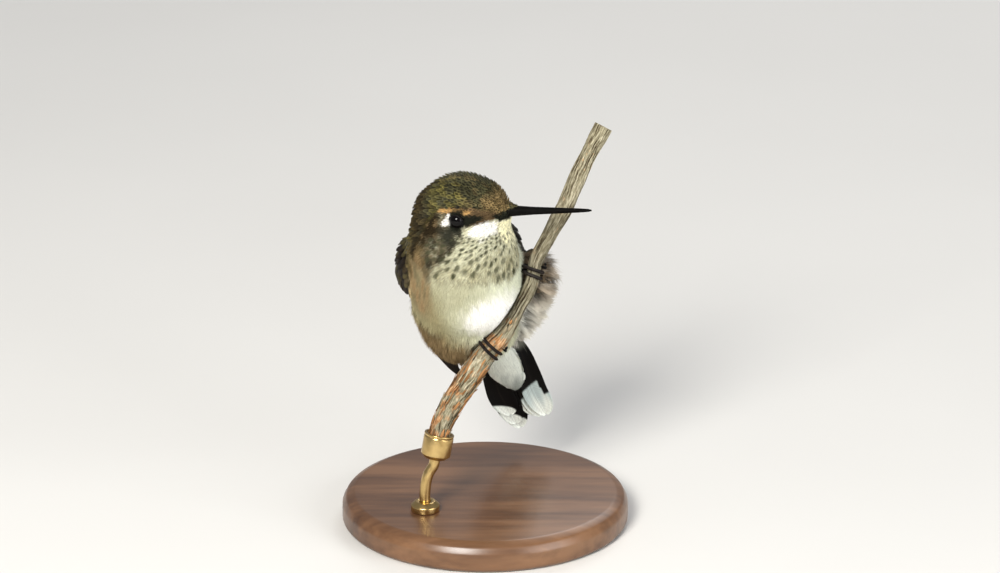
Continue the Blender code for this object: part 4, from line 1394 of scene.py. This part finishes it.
def folded_wing(side_name, side):
    blades = []
    for number in range(10):
        row = number * 0.56
        ends = 1 - 0.085 * row - 0.006 * row ** 2
        blades.append(wing_blade("primary", side, row, 0.20 + 0.02 * row, ends, 1.3 + 0.12 * row,
                                 0.02 + 0.08 * row, 0.7, WING_BROWN, WING_EDGE))
    for number in range(6):
        row = 4.3 + 0.45 * number
        blades.append(wing_blade("secondary", side, row, 0.18, 0.50 - 0.035 * number, 1.7,
                                 0.15 + 0.05 * number, 0.6, SECONDARY_BROWN, WING_EDGE))
    for number in range(1, 9):
        row = 0.3 + 0.62 * number
        blades.append(wing_blade("greater_covert", side, row, 0.13, 0.30 + 0.010 * number, 1.2,
                                 0.02 + 0.04 * number, 0.5, COVERT_GREEN, COVERT_EDGE))
    wing = join_blades("wing_feathers_" + side_name, blades, 0.09)
    return finish_piece(wing, flight_material, "wing_" + side_name + "_primaries", slot="flight_feathers")


for side_name, side in (("left", 1), ("right", -1)):
    made_wing = folded_wing(side_name, side)
    print(made_wing.name, "faces:", len(made_wing.data.polygons))

# %% [markdown]
# ## Tail
# The tail has ten feathers. The middle ones are green and dark to the tip. The outer three of each side are
# grey at the root, then black, and end in a clean white tip. On the bird's left, where the tail is spread,
# the outermost has the most white. Their grids are finer than the wing's, because the line between black
# and white is sharp.

# %% Tail feathers
RECTRIX_LENGTHS = {1: (25.5, 26.0, 26.6, 27.2, 27.2), -1: (25.5, 26.4, 29.0, 27.2, 23.8)}
RECTRIX_HALF = 2.6
OUTERMOST = 4
FIRST_WHITE = 2               # the feathers from this one outwards have white tips
TAIL_GREEN = np.array((0.050, 0.055, 0.030))
TAIL_GREY = np.array((0.16, 0.16, 0.13))
TAIL_BLACK = np.array((0.004, 0.004, 0.004))
TAIL_WHITE = np.array((0.90, 0.95, 0.87))
TAIL_MILK = np.array((0.54, 0.64, 0.62))
BLACK_FROM = (15.5, 14.0, 11.0, 8.5, 6.5)
WHITE_LENGTH = {1: (0.0, 0.0, 5.6, 8.0, 10.4), -1: (0.0, 0.0, 3.6, 3.0, 2.6)}


def rectrix(side, number):
    length = RECTRIX_LENGTHS[side][number]
    outward = number / OUTERMOST
    layer = 0.55 - 0.22 * (number + 0.5 * (side > 0))

    def shape(s, u):
        spread = 1.9 * np.sin(np.pi / 2 * np.minimum(u / 0.35, 1)) + 0.8 * side * ramp(u, 0.65, 1.0)
        middle = 0.35 + outward * (1.25 + spread)
        half = RECTRIX_HALF * blade_half_width(u, 0.78, 0.4)
        sunk = 1.5 * ramp(u, 0.42, 0.12)
        return np.stack([side * middle + s * half, layer + sunk - 0.35 * s * s, -length * u], axis=-1)

    obj, s, u = blade("rectrix", TAIL, shape, finer=2)
    s, reach = s * side, u * length
    black = ramp(reach + 0.8 * np.abs(s), BLACK_FROM[number] - 0.9, BLACK_FROM[number] + 0.9)[:, None]
    begins = length - WHITE_LENGTH[side][number] if number >= FIRST_WHITE else 2 * length
    if number == OUTERMOST and side > 0:
        begins = begins + 5.0 * ramp(s, 0.42, 0.58)
    slope = 1.3 if side > 0 else 1.9
    white = ramp(reach + slope * s, begins - 0.30, begins + 0.30)[:, None]
    milky = ramp(reach + 1.2 * np.sin(7 * s + number), length - 1.5, length - 8.0)[:, None]
    streak = (1 + 0.10 * np.sin(17 * s + 2 * number) + 0.07 * np.sin(41 * s))[:, None]
    tip_white = (TAIL_WHITE * (1 - milky) + TAIL_MILK * milky) * streak.clip(0.7, 1.05)
    root = TAIL_GREEN if number < FIRST_WHITE else TAIL_GREY
    colour_blade(obj, (root * (1 - black) + TAIL_BLACK * black) * (1 - white) + tip_white * white)
    return obj


rectrices = [rectrix(side, number) for side in (1, -1) for number in range(OUTERMOST + 1)]
tail = join_blades("tail_feathers", rectrices, 0.10)
finish_piece(tail, flight_material, "tail", slot="flight_feathers")
print("tail faces:", len(tail.data.polygons))

# %% [markdown]
# ## Bill
# The bill is a long thin cone in two halves that meet along the gape. Each half starts as a ring that is
# extruded from the feathers to the tip, so its taper can follow the real one station by station.

# %% Bill
BILL_AXIS = -1.2
BILL_STATIONS = (             # reach along the head and radius, from the feathers to the tip
    (6.5, 1.50), (8.6, 1.26), (11.2, 1.06), (14.9, 0.81), (20.5, 0.61), (24.5, 0.45), (26.6, 0.33),
    (27.4, 0.16),
)
GAPE = 0.05 * MM              # half of the gap between the halves
HORN_TONES = ((0.3, (0.002, 0.002, 0.0015)), (0.75, (0.0045, 0.004, 0.0035)))
horn_material = grained_material("bill horn", 0.5, 700.0, HORN_TONES, detail=5.0, specular=0.04,
                                 bump=(0.15, 0.05 * MM))


def bill_half(name, upper):
    """A half-round cone along the bill's axis, closed along the gape."""
    bpy.ops.object.select_all(action="DESELECT")
    first_reach, first_radius = BILL_STATIONS[0]
    bpy.ops.mesh.primitive_circle_add(vertices=32, radius=first_radius * MM, fill_type="NGON")
    obj = bpy.context.object
    obj.name = name
    bpy.ops.object.mode_set(mode="EDIT")
    reach, radius = first_reach, first_radius
    for next_reach, next_radius in BILL_STATIONS[1:]:
        bpy.ops.mesh.extrude_region_move(
            TRANSFORM_OT_translate={"value": (0, 0, (next_reach - reach) * MM)})
        bpy.ops.transform.resize(value=(next_radius / radius,) * 2 + (1,),
                                 center_override=(0, 0, (next_reach - first_reach) * MM))
        reach, radius = next_reach, next_radius
    bpy.ops.mesh.select_all(action="SELECT")
    bpy.ops.mesh.bisect(plane_co=(0, GAPE if upper else -GAPE, 0), plane_no=(0, 1, 0), use_fill=True,
                        clear_inner=upper, clear_outer=not upper)
    bpy.ops.object.mode_set(mode="OBJECT")
    points = coordinates(obj.data) / MM
    points[:, 1] *= 1.0 if upper else 0.9
    away = points[:, 2] + first_reach
    placed = np.stack([points[:, 0], -away, points[:, 1] + BILL_AXIS - 0.1], axis=1)
    move_vertices(obj.data, put_in_room(HEAD, placed))
    select_only(obj)
    bpy.ops.object.mode_set(mode="EDIT")
    bpy.ops.mesh.select_all(action="SELECT")
    bpy.ops.mesh.normals_make_consistent(inside=False)
    bpy.ops.object.mode_set(mode="OBJECT")
    apply_modifier(obj, "BEVEL", width=0.06 * MM, segments=2, limit_method="ANGLE")
    bpy.ops.object.shade_smooth_by_angle(angle=math.radians(40))
    return obj


for half_name, upper in (("bill_upper", True), ("bill_lower", False)):
    finish_piece(bill_half(half_name + "_horn", upper), horn_material, half_name, slot="bill_horn")

# %% [markdown]
# ## Eyes
# The eye is a glossy ball, almost black, set in a ring of bare lids. Only the part inside the lids shows, so
# a plain ball is enough, and the lids are a torus laid round it.

# %% Eyes and lids
EYE_RADIUS = 1.68
LID_RADIUS = 1.46
LID_THICKNESS = 0.20
EYE_TONES = ((0.3, (0.001, 0.001, 0.001)), (0.8, (0.003, 0.002, 0.002)))
LID_TONES = ((0.3, (0.003, 0.003, 0.003)), (0.7, (0.010, 0.009, 0.008)))
eye_material = grained_material("dark eye", 0.05, 900.0, EYE_TONES, specular=0.16)
lid_material = grained_material("eyelid skin", 0.6, 2500.0, LID_TONES, specular=0.05,
                                bump=(0.4, 0.05 * MM))

for side_name, side in (("left", 1), ("right", -1)):
    eyeball = ball("eyeball_" + side_name, EYE_RADIUS, HEAD, (side * EYE_AT[0], EYE_AT[1], EYE_AT[2]), 48, 24)
    finish_piece(eyeball, eye_material, "eye_" + side_name, slot="eye_dark")
    bpy.ops.object.select_all(action="DESELECT")
    bpy.ops.mesh.primitive_torus_add(major_segments=64, minor_segments=12, major_radius=LID_RADIUS * MM,
                                     minor_radius=LID_THICKNESS * MM)
    lids = bpy.context.object
    lids.name = "eyelids_" + side_name
    ring = coordinates(lids.data) / MM
    placed = np.stack([side * (EYE_AT[0] + 0.80 + ring[:, 2]), EYE_AT[1] + ring[:, 0],
                       EYE_AT[2] + ring[:, 1] * 0.96], axis=1)
    move_vertices(lids.data, put_in_room(HEAD, placed))
    if side > 0:
        lids.data.flip_normals()
    lids.data.shade_smooth()
    finish_piece(lids, lid_material, slot="eye_dark")

# %% [markdown]
# ## The twig
# The bird grips a dead, weathered twig. Its bark has long fibres and cracks, a swollen knot where the lower
# foot holds on, and strips that peel away at the lower end. A grid is rolled into a tube along the twig's
# middle line, and its relief is pushed in and out of the surface.

# %% Marks and directions on the twig
BARK_LENGTH = 86.0            # the length that marks are laid out on, a little over the twig's own
PAST_END = 2.0                # marks may have their middle this far past either end
TWIG_FACE = np.array((0.0, -1.0, 0.35))    # angles round the twig count from here
NEXT = 0.004                  # a small step along the twig, as a share of it


def marks_on_bark(angle, distance, radius, draw, count, length, width):
    """The strongest of many long narrow marks at each place, from 0 to 1: fissures or raised strips."""
    strongest = np.zeros_like(angle)
    for _ in range(count):
        middle_angle = draw.uniform(-np.pi, np.pi)
        middle_distance = draw.uniform(-PAST_END, BARK_LENGTH + PAST_END)
        half_length = draw.uniform(*length)
        half_width = draw.uniform(*width)
        lengthways = (distance - middle_distance) / half_length
        turn = middle_angle + draw.uniform(-0.12, 0.12) * lengthways
        turn = turn + 0.04 * np.sin(distance * 1.7 + middle_angle)
        sideways = ((angle - turn + np.pi) % (2 * np.pi) - np.pi) * radius / half_width
        strength = near(np.hypot(lengthways, sideways), 0.2, 1.0) * draw.uniform(0.4, 1.0)
        strongest = np.maximum(strongest, strength)
    return strongest


def next_to(share, step):
    """Places on the twig's middle line a step further along it."""
    return along_twig(np.clip(share + step, 0, 1))[:, :3]


def out_of_twig(tangents, angles):
    """Directions straight out of the twig, at angles round it."""
    front = unit(TWIG_FACE - tangents * (tangents @ TWIG_FACE)[:, None])
    side = np.cross(tangents, front)
    return front * np.cos(angles)[:, None] + side * np.sin(angles)[:, None]


# %% Twig
TWIG_AROUND = 96
TWIG_ALONG = 420
KNOT_HEIGHT = 41.0
KNOT_REACH = 1.6

bpy.ops.object.select_all(action="DESELECT")
bpy.ops.mesh.primitive_grid_add(x_subdivisions=TWIG_AROUND, y_subdivisions=TWIG_ALONG, size=2)
twig = bpy.context.object
twig.name = "twig_bark"
grid = coordinates(twig.data)
twig_angle, twig_share = grid[:, 0] * np.pi, (1 - grid[:, 1]) / 2
stations = along_twig(twig_share)
middles, twig_radius = stations[:, :3], stations[:, 3]
tangents = unit(next_to(twig_share, NEXT) - next_to(twig_share, -NEXT))
twig_distance = twig_share * BARK_LENGTH
on_bark = (twig_angle, twig_distance, twig_radius, np.random.default_rng(21))
fissures = marks_on_bark(*on_bark, 210, (2.0, 7.0), (0.10, 0.24))
strips = marks_on_bark(*on_bark, 150, (2.0, 8.0), (0.20, 0.55))
fibres = marks_on_bark(*on_bark, 500, (1.5, 5.0), (0.08, 0.16))
lumps = (np.sin(2 * twig_angle + twig_distance * 0.11) + np.sin(3 * twig_angle - twig_distance * 0.17 + 1.0)
         + np.sin(twig_distance * 0.62 + np.cos(twig_angle) * 1.4) + np.sin(twig_distance * 0.27 + 2.0))
knot = np.exp(-((middles[:, 2] - KNOT_HEIGHT) / KNOT_REACH) ** 2) * (0.6 + 0.4 * np.cos(twig_angle + 0.6))
lower = ramp(twig_share, 0.58, 0.85)
relief = 0.07 * lumps + (0.14 + 0.12 * lower) * strips + 0.05 * fibres - (0.24 + 0.14 * lower) * fissures
relief = relief + 0.35 * knot - 0.08
twig_points = middles + out_of_twig(tangents, twig_angle) * (twig_radius + relief)[:, None]
move_vertices(twig.data, twig_points * MM)
bark_rgba = np.ones((len(grid), 4))
bark_rgba[:, 0] = fissures
bark_rgba[:, 1] = np.clip(0.75 * strips + 0.35 * fibres, 0, 1)
bark_rgba[:, 2] = np.clip(lower * (0.35 + 0.75 * ramp(np.sin(twig_angle), -0.3, 0.9)) + 1.3 * knot, 0, 1.4)
bark_rgba[:, 3] = 0.95 + 0.45 * ramp(twig_share, 0.40, 0.0) + 0.25 * ramp(twig_share, 0.5, 0.75)
colour_vertices(twig.data, "Bark", bark_rgba)
twig.data.uv_layers[0].name = "Fibre"
apply_modifier(twig, "WELD", merge_threshold=0.001 * MM)
bpy.ops.object.mode_set(mode="EDIT")
bpy.ops.mesh.select_all(action="SELECT")
bpy.ops.mesh.fill_holes(sides=0)
bpy.ops.mesh.normals_make_consistent(inside=False)
bpy.ops.object.mode_set(mode="OBJECT")
twig.data.shade_smooth()

# %% [markdown]
# Old bark is grey where the weather has bleached it and red brown where it is fresh, and darkest in its
# cracks. One height drawn from streaks and flakes gives both the relief and the place on either scale of
# colour, and the marks kept on the mesh say how cracked, raised, fresh and bright each place is.

# %% Bark
bark_material, bark_tree, bark_shader = new_material("weathered bark", 0.9, specular=0.08)
bark_split = add_node(bark_tree, "ShaderNodeSeparateColor")
bark_source = add_node(bark_tree, "ShaderNodeAttribute", attribute_name="Bark")
bark_tree.links.new(bark_source.outputs["Color"], bark_split.inputs[0])
fissured, raised, low_down = bark_split.outputs[0], bark_split.outputs[1], bark_split.outputs[2]
fibre_map = add_node(bark_tree, "ShaderNodeUVMap", uv_map="Fibre").outputs["UV"]
streaks = noise(bark_tree, fibre_map, 10.0, 8.0, (10.0, 4.5, 1.0))
flakes = noise(bark_tree, fibre_map, 10.0, 8.0, (3.6, 7.5, 1.0))
patches = noise(bark_tree, fibre_map, 10.0, 6.0, (0.8, 3.0, 1.0))
bark_height = maths(bark_tree, "MULTIPLY_ADD", streaks, 0.75, maths(bark_tree, "MULTIPLY", flakes, 0.45))
bark_height = maths(bark_tree, "MULTIPLY_ADD", raised, 0.22, bark_height)
bark_height = maths(bark_tree, "MULTIPLY_ADD", fissured, -0.38, bark_height)
grey_bark = colour_ramp(bark_tree, bark_height, ((0.36, (0.030, 0.020, 0.011)), (0.52, (0.115, 0.098, 0.060)),
                                                (0.66, (0.215, 0.195, 0.130)), (0.86, (0.42, 0.38, 0.28))))
red_bark = colour_ramp(bark_tree, bark_height, ((0.36, (0.030, 0.013, 0.006)), (0.52, (0.15, 0.068, 0.028)),
                                               (0.66, (0.34, 0.18, 0.080)), (0.86, (0.55, 0.42, 0.26))))
red_here = maths(bark_tree, "MULTIPLY_ADD", patches, 2.6, -1.35)
red_here = maths(bark_tree, "MULTIPLY_ADD", low_down, 0.55, red_here)
red_here = maths(bark_tree, "MULTIPLY_ADD", flakes, 1.0, maths(bark_tree, "ADD", red_here, -0.5))
red_here = colour_ramp(bark_tree, red_here, ((0.30, (0, 0, 0)), (0.60, (1, 1, 1))))
bark_colour = mix_colours(bark_tree, red_here, grey_bark, red_bark)
weathering = add_node(bark_tree, "ShaderNodeCombineColor")
for channel in weathering.inputs:
    bark_tree.links.new(bark_source.outputs["Alpha"], channel)
bark_tree.links.new(mix_colours(bark_tree, 1.0, bark_colour, weathering.outputs[0], "MULTIPLY"),
                    bark_shader.inputs["Base Color"])
add_bump(bark_tree, bark_shader, bark_height, 0.8, 0.30 * MM)
finish_piece(twig, bark_material, "perch_twig", slot="twig_bark")
print("twig faces:", len(twig.data.polygons))

# %% [markdown]
# Scraps of bark curl away from the weathered lower end. One scrap is modelled as a narrow strip with
# pointed ends, and its copies are bent up at one end along the twig.

# %% Bark scraps
SCRAP = model_vane("bark_scrap", 2, (0.35, 0.9, 1.0, 0.8, 0.5, 0.15), 0.12)
scrap_draw = np.random.default_rng(33)
SCRAPS = 150
BARK_SURFACE = 0.06           # scraps start this far over the twig's plain radius
scrap_start = 0.57 + 0.41 * scrap_draw.random(SCRAPS) ** 0.8
scrap_angle = scrap_draw.uniform(-np.pi, np.pi, SCRAPS)
scrap_length = scrap_draw.uniform(1.2, 5.0, SCRAPS) * (0.5 + 0.5 * ramp(scrap_start, 0.5, 0.8))
scrap_width = scrap_draw.uniform(0.25, 0.8, SCRAPS)
scrap_lift = scrap_draw.uniform(0.10, 0.55, SCRAPS) * (0.4 + 0.6 * (scrap_draw.random(SCRAPS) < 0.35))
x, y, z = SCRAP["points"].T
scrap_share = (scrap_start[:, None] - y[None] * scrap_length[:, None] / BARK_LENGTH).ravel()
scrap_line = along_twig(scrap_share)
scrap_tangent = unit(next_to(scrap_share, NEXT) - scrap_line[:, :3])
scrap_radius = scrap_line[:, 3].reshape(SCRAPS, -1)
angles = (scrap_angle[:, None] + x[None] * scrap_width[:, None] / scrap_radius).ravel()
heights = (scrap_radius + BARK_SURFACE + scrap_lift[:, None] * y[None] ** 2.0).ravel()
scrap_points = scrap_line[:, :3] + out_of_twig(scrap_tangent, angles) * heights[:, None]
scrap_faces = (SCRAP["faces"][None] + (np.arange(SCRAPS) * len(x))[:, None, None]).reshape(-1, 4)
scrap_tone = scrap_draw.uniform(0.5, 1.3, (SCRAPS, 1, 1)) * (0.7 + 0.5 * y[None, :, None])
scrap_red = (scrap_draw.random((SCRAPS, 1, 1)) < 0.6)
scrap_rgb = np.where(scrap_red, np.array((0.34, 0.17, 0.070)), np.array((0.30, 0.25, 0.16))) * scrap_tone
scrap_rgba = np.concatenate([scrap_rgb, np.ones(scrap_rgb.shape[:2] + (1,))], axis=2).reshape(-1, 4)
scrap_map = np.broadcast_to(np.stack([x + 0.5, y], axis=1), (SCRAPS, len(x), 2)).reshape(-1, 2)
scraps = build_mesh("bark_scraps", scrap_points * MM, scrap_faces, scrap_rgba, {"Vane": scrap_map})
apply_modifier(scraps, "SOLIDIFY", thickness=0.06 * MM, offset=1.0)
scrap_material = plumage_material("bark scraps", 0.9, 0.06, 0.35)
finish_piece(scraps, scrap_material, slot="twig_bark")
print("bark scraps:", SCRAPS)

# %% [markdown]
# ## Feet
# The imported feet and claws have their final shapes, so they stay and only get finer materials. The scales
# of a foot this small are a fine grain, and the claws are the bill's horn.

# %% Materials for kept pieces
FOOT_TONES = ((0.3, (0.004, 0.003, 0.003)), (0.7, (0.020, 0.015, 0.012)))
foot_material = grained_material("foot skin", 0.5, 1600.0, FOOT_TONES, detail=3.0, specular=0.12,
                                 bump=(0.5, 0.1 * MM))

KEPT_FINISH = {"leg_": foot_material, "claw_": horn_material}
kept = []
for node_name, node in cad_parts.items():
    for beginning, finish in KEPT_FINISH.items():
        if node_name.startswith(beginning) and not node_name.endswith("_thigh"):
            node.data.materials.clear()
            node.data.materials.append(finish)
            kept.append(node_name)
            break
print("kept nodes:", kept)

# %% [markdown]
# ## Stand
# A stand for a small bird is turned work: a wooden foot from the lathe, and brass parts. The wood shows its
# growth rings, drawn out along the grain, with fine pores over them. The brass is satin, a little uneven.

# %% Wood and brass
WOOD_TONES = ((0.45, (0.055, 0.024, 0.011)), (0.62, (0.11, 0.052, 0.024)), (0.85, (0.19, 0.095, 0.045)))
BRASS_TONES = ((0.3, (0.46, 0.31, 0.12)), (0.7, (0.66, 0.47, 0.20)))
wood_material, wood_tree, wood_shader = new_material("turned wood", 0.32)
wood_place = add_node(wood_tree, "ShaderNodeTexCoord").outputs["Object"]
wood_rings = noise(wood_tree, wood_place, 60.0, 6.0, (0.25, 2.4, 2.4))
wood_pores = noise(wood_tree, wood_place, 700.0, 3.0, (0.12, 1.0, 1.0))
wood_figure = maths(wood_tree, "MULTIPLY_ADD", wood_pores, 0.35, wood_rings)
wood_tree.links.new(colour_ramp(wood_tree, wood_figure, WOOD_TONES), wood_shader.inputs["Base Color"])
add_bump(wood_tree, wood_shader, wood_pores, 0.15, 0.1 * MM)
brass_material = grained_material("satin brass", 0.28, 500.0, BRASS_TONES, metallic=1.0,
                                  bump=(0.08, 0.05 * MM))

# %% [markdown]
# Each turned piece is drawn as half of its section and spun round the axis, as a lathe would cut it, and its
# edges are eased. The rod is a round curve: it rises from its collar and bends to meet the twig's cut end,
# which stands in a cup that follows the twig's slant.

# %% Stand
ROD_AT = (-12.0, -10.6)
BASE_HEIGHT = 6.0
SPIN_STEPS = 112
# each profile is a list of radii and heights
FOOT_PROFILE = ((0, BASE_HEIGHT), (26.6, BASE_HEIGHT), (28.2, 5.3), (29.0, 3.8), (29.0, 0.7), (28.3, 0),
                (0, 0))
COLLAR_PROFILE = ((1.15, 2.0), (2.0, 2.0), (2.9, 1.2), (2.9, 0), (1.15, 0))
CUP_PROFILE = ((0, -1.2), (2.2, -1.2), (3.0, -0.4), (3.0, 3.3), (2.85, 3.45), (3.0, 3.6), (3.0, 4.0),
               (2.5, 4.0), (2.4, 3.6), (0, 3.6))
ROD_RADIUS = 1.1
KNEE_HEIGHT = 10.5
ROD_IN_CUP = 1.4              # how far below the twig's end the rod stops


def turned(name, profile, ease, closed=False):
    """A shape spun round the z axis from a profile of radii and heights in millimetres."""
    mesh = bpy.data.meshes.new(name)
    edges = [(i, i + 1) for i in range(len(profile) - 1)] + ([(len(profile) - 1, 0)] if closed else [])
    mesh.from_pydata([(radius * MM, 0, height * MM) for radius, height in profile], edges, [])
    obj = bpy.data.objects.new(name, mesh)
    bpy.context.scene.collection.objects.link(obj)
    select_only(obj)
    bpy.ops.object.mode_set(mode="EDIT")
    bpy.ops.mesh.select_all(action="SELECT")
    bpy.ops.mesh.spin(steps=SPIN_STEPS, angle=2 * math.pi, center=(0, 0, 0), axis=(0, 0, 1))
    bpy.ops.mesh.select_all(action="SELECT")
    bpy.ops.mesh.remove_doubles(threshold=1e-6)
    bpy.ops.mesh.normals_make_consistent(inside=False)
    bpy.ops.object.mode_set(mode="OBJECT")
    apply_modifier(obj, "BEVEL", width=ease * MM, segments=3, limit_method="ANGLE",
                   angle_limit=math.radians(20))
    bpy.ops.object.shade_smooth_by_angle(angle=math.radians(35))
    return obj


foot_disc = turned("stand_foot", FOOT_PROFILE, 0.35)
finish_piece(foot_disc, wood_material, "stand_base", slot="stand_wood")

collar = turned("stand_ring", COLLAR_PROFILE, 0.15, closed=True)
collar.location = (ROD_AT[0] * MM, ROD_AT[1] * MM, (BASE_HEIGHT + 0.1) * MM)
settle(collar)
finish_piece(collar, brass_material, "stand_collar", slot="stand_brass")

twig_end, before_end = twig_line[-1, :3], TWIG[-2, :3]
up_twig = Vector(before_end - twig_end).normalized()
cup = turned("stand_cup", CUP_PROFILE, 0.12)
cup.rotation_mode = "QUATERNION"
cup.rotation_quaternion = up_twig.to_track_quat("Z", "Y")
cup.location = Vector(twig_end) * MM
settle(cup)
finish_piece(cup, brass_material, "stand_ferrule", slot="stand_brass")

rod_top = Vector(twig_end) - up_twig * ROD_IN_CUP
rod_knee = Vector((*ROD_AT, KNEE_HEIGHT))
rod_middle = rod_knee.lerp(rod_top, 0.5) - Vector((0.35, 0.1, 0))
rod_points = (Vector((*ROD_AT, BASE_HEIGHT + 0.02)), rod_knee, rod_middle, rod_top - up_twig * 1.2, rod_top)
rod_curve = bpy.data.curves.new("stand_stem", "CURVE")
rod_curve.dimensions = "3D"
rod_curve.bevel_depth = ROD_RADIUS * MM
rod_curve.bevel_resolution = 8
rod_curve.resolution_u = 16
rod_curve.use_fill_caps = True
rod_spline = rod_curve.splines.new("BEZIER")
rod_spline.bezier_points.add(len(rod_points) - 1)
for knot, point in zip(rod_spline.bezier_points, rod_points):
    knot.co = point * MM
    knot.handle_left_type = knot.handle_right_type = "AUTO"
stem = bpy.data.objects.new("stand_stem", rod_curve)
bpy.context.scene.collection.objects.link(stem)
select_only(stem)
bpy.ops.object.convert(target="MESH")
stem = bpy.context.object
apply_modifier(stem, "WELD", merge_threshold=1e-6)
select_only(stem)
bpy.ops.object.shade_smooth_by_angle(angle=math.radians(40))
finish_piece(stem, brass_material, "stand_rod", slot="stand_brass")
print("stand pieces:", [obj.name for obj in (foot_disc, collar, cup, stem)])

# %% [markdown]
# ## Camera, light and floor
# The camera looks slightly down on the bird, from the same side as the twig's front. A long lens keeps the
# bill and the tail in true proportion.

# %% Camera
LENS = 180.0
CAMERA_FAR = 1.0
looked_at = Vector((3.0, 0.0, 50.0)) * MM
back_to_camera = Vector((0.0, -math.cos(CAMERA_RISE), math.sin(CAMERA_RISE)))
bpy.ops.object.camera_add(location=looked_at + back_to_camera * CAMERA_FAR)
camera = bpy.context.object
camera.data.lens = LENS
camera.data.sensor_width = 36.0
camera.data.clip_start = 0.05
camera.rotation_mode = "QUATERNION"
camera.rotation_quaternion = (-back_to_camera).to_track_quat("-Z", "Y")
bpy.context.scene.camera = camera

# %% [markdown]
# One large soft light stands near the camera, a weaker one fills the other side, and a faint one behind
# lights the edges of the plumage. The pale floor gives the rest back.


# %% Light and floor
def soft_light(name, direction, distance, size, power, tint=(1, 1, 1)):
    place = looked_at + Vector(direction).normalized() * distance
    bpy.ops.object.light_add(type="AREA", location=place)
    lamp = bpy.context.object
    lamp.name = name
    lamp.data.size = size
    lamp.data.energy = power
    lamp.data.color = tint
    lamp.rotation_mode = "QUATERNION"
    lamp.rotation_quaternion = (looked_at - place).to_track_quat("-Z", "Y")
    print(name, "light at", [round(c, 2) for c in place])


soft_light("key", (-0.40, -1.0, 0.70), 0.8, 0.26, 9.0, (1.0, 0.97, 0.92))
soft_light("fill", (0.9, -0.7, 0.35), 0.8, 0.5, 4.0, (0.97, 0.98, 1.0))
soft_light("rim", (0.3, 1.0, 0.9), 0.8, 0.4, 1.8)

world = bpy.data.worlds.new("studio")
world.use_nodes = True
world.node_tree.nodes["Background"].inputs["Color"].default_value = (0.92, 0.94, 1.0, 1)
world.node_tree.nodes["Background"].inputs["Strength"].default_value = 0.3
bpy.context.scene.world = world
bpy.context.scene.view_settings.view_transform = "Standard"

bpy.ops.mesh.primitive_plane_add(size=6.0, location=(0, 0, -0.0001))
floor = bpy.context.object
floor.name = "floor"
FLOOR_TONES = ((0.3, (0.70, 0.69, 0.66)), (0.7, (0.73, 0.72, 0.69)))
floor.data.materials.append(grained_material("pale floor", 0.8, 6.0, FLOOR_TONES))
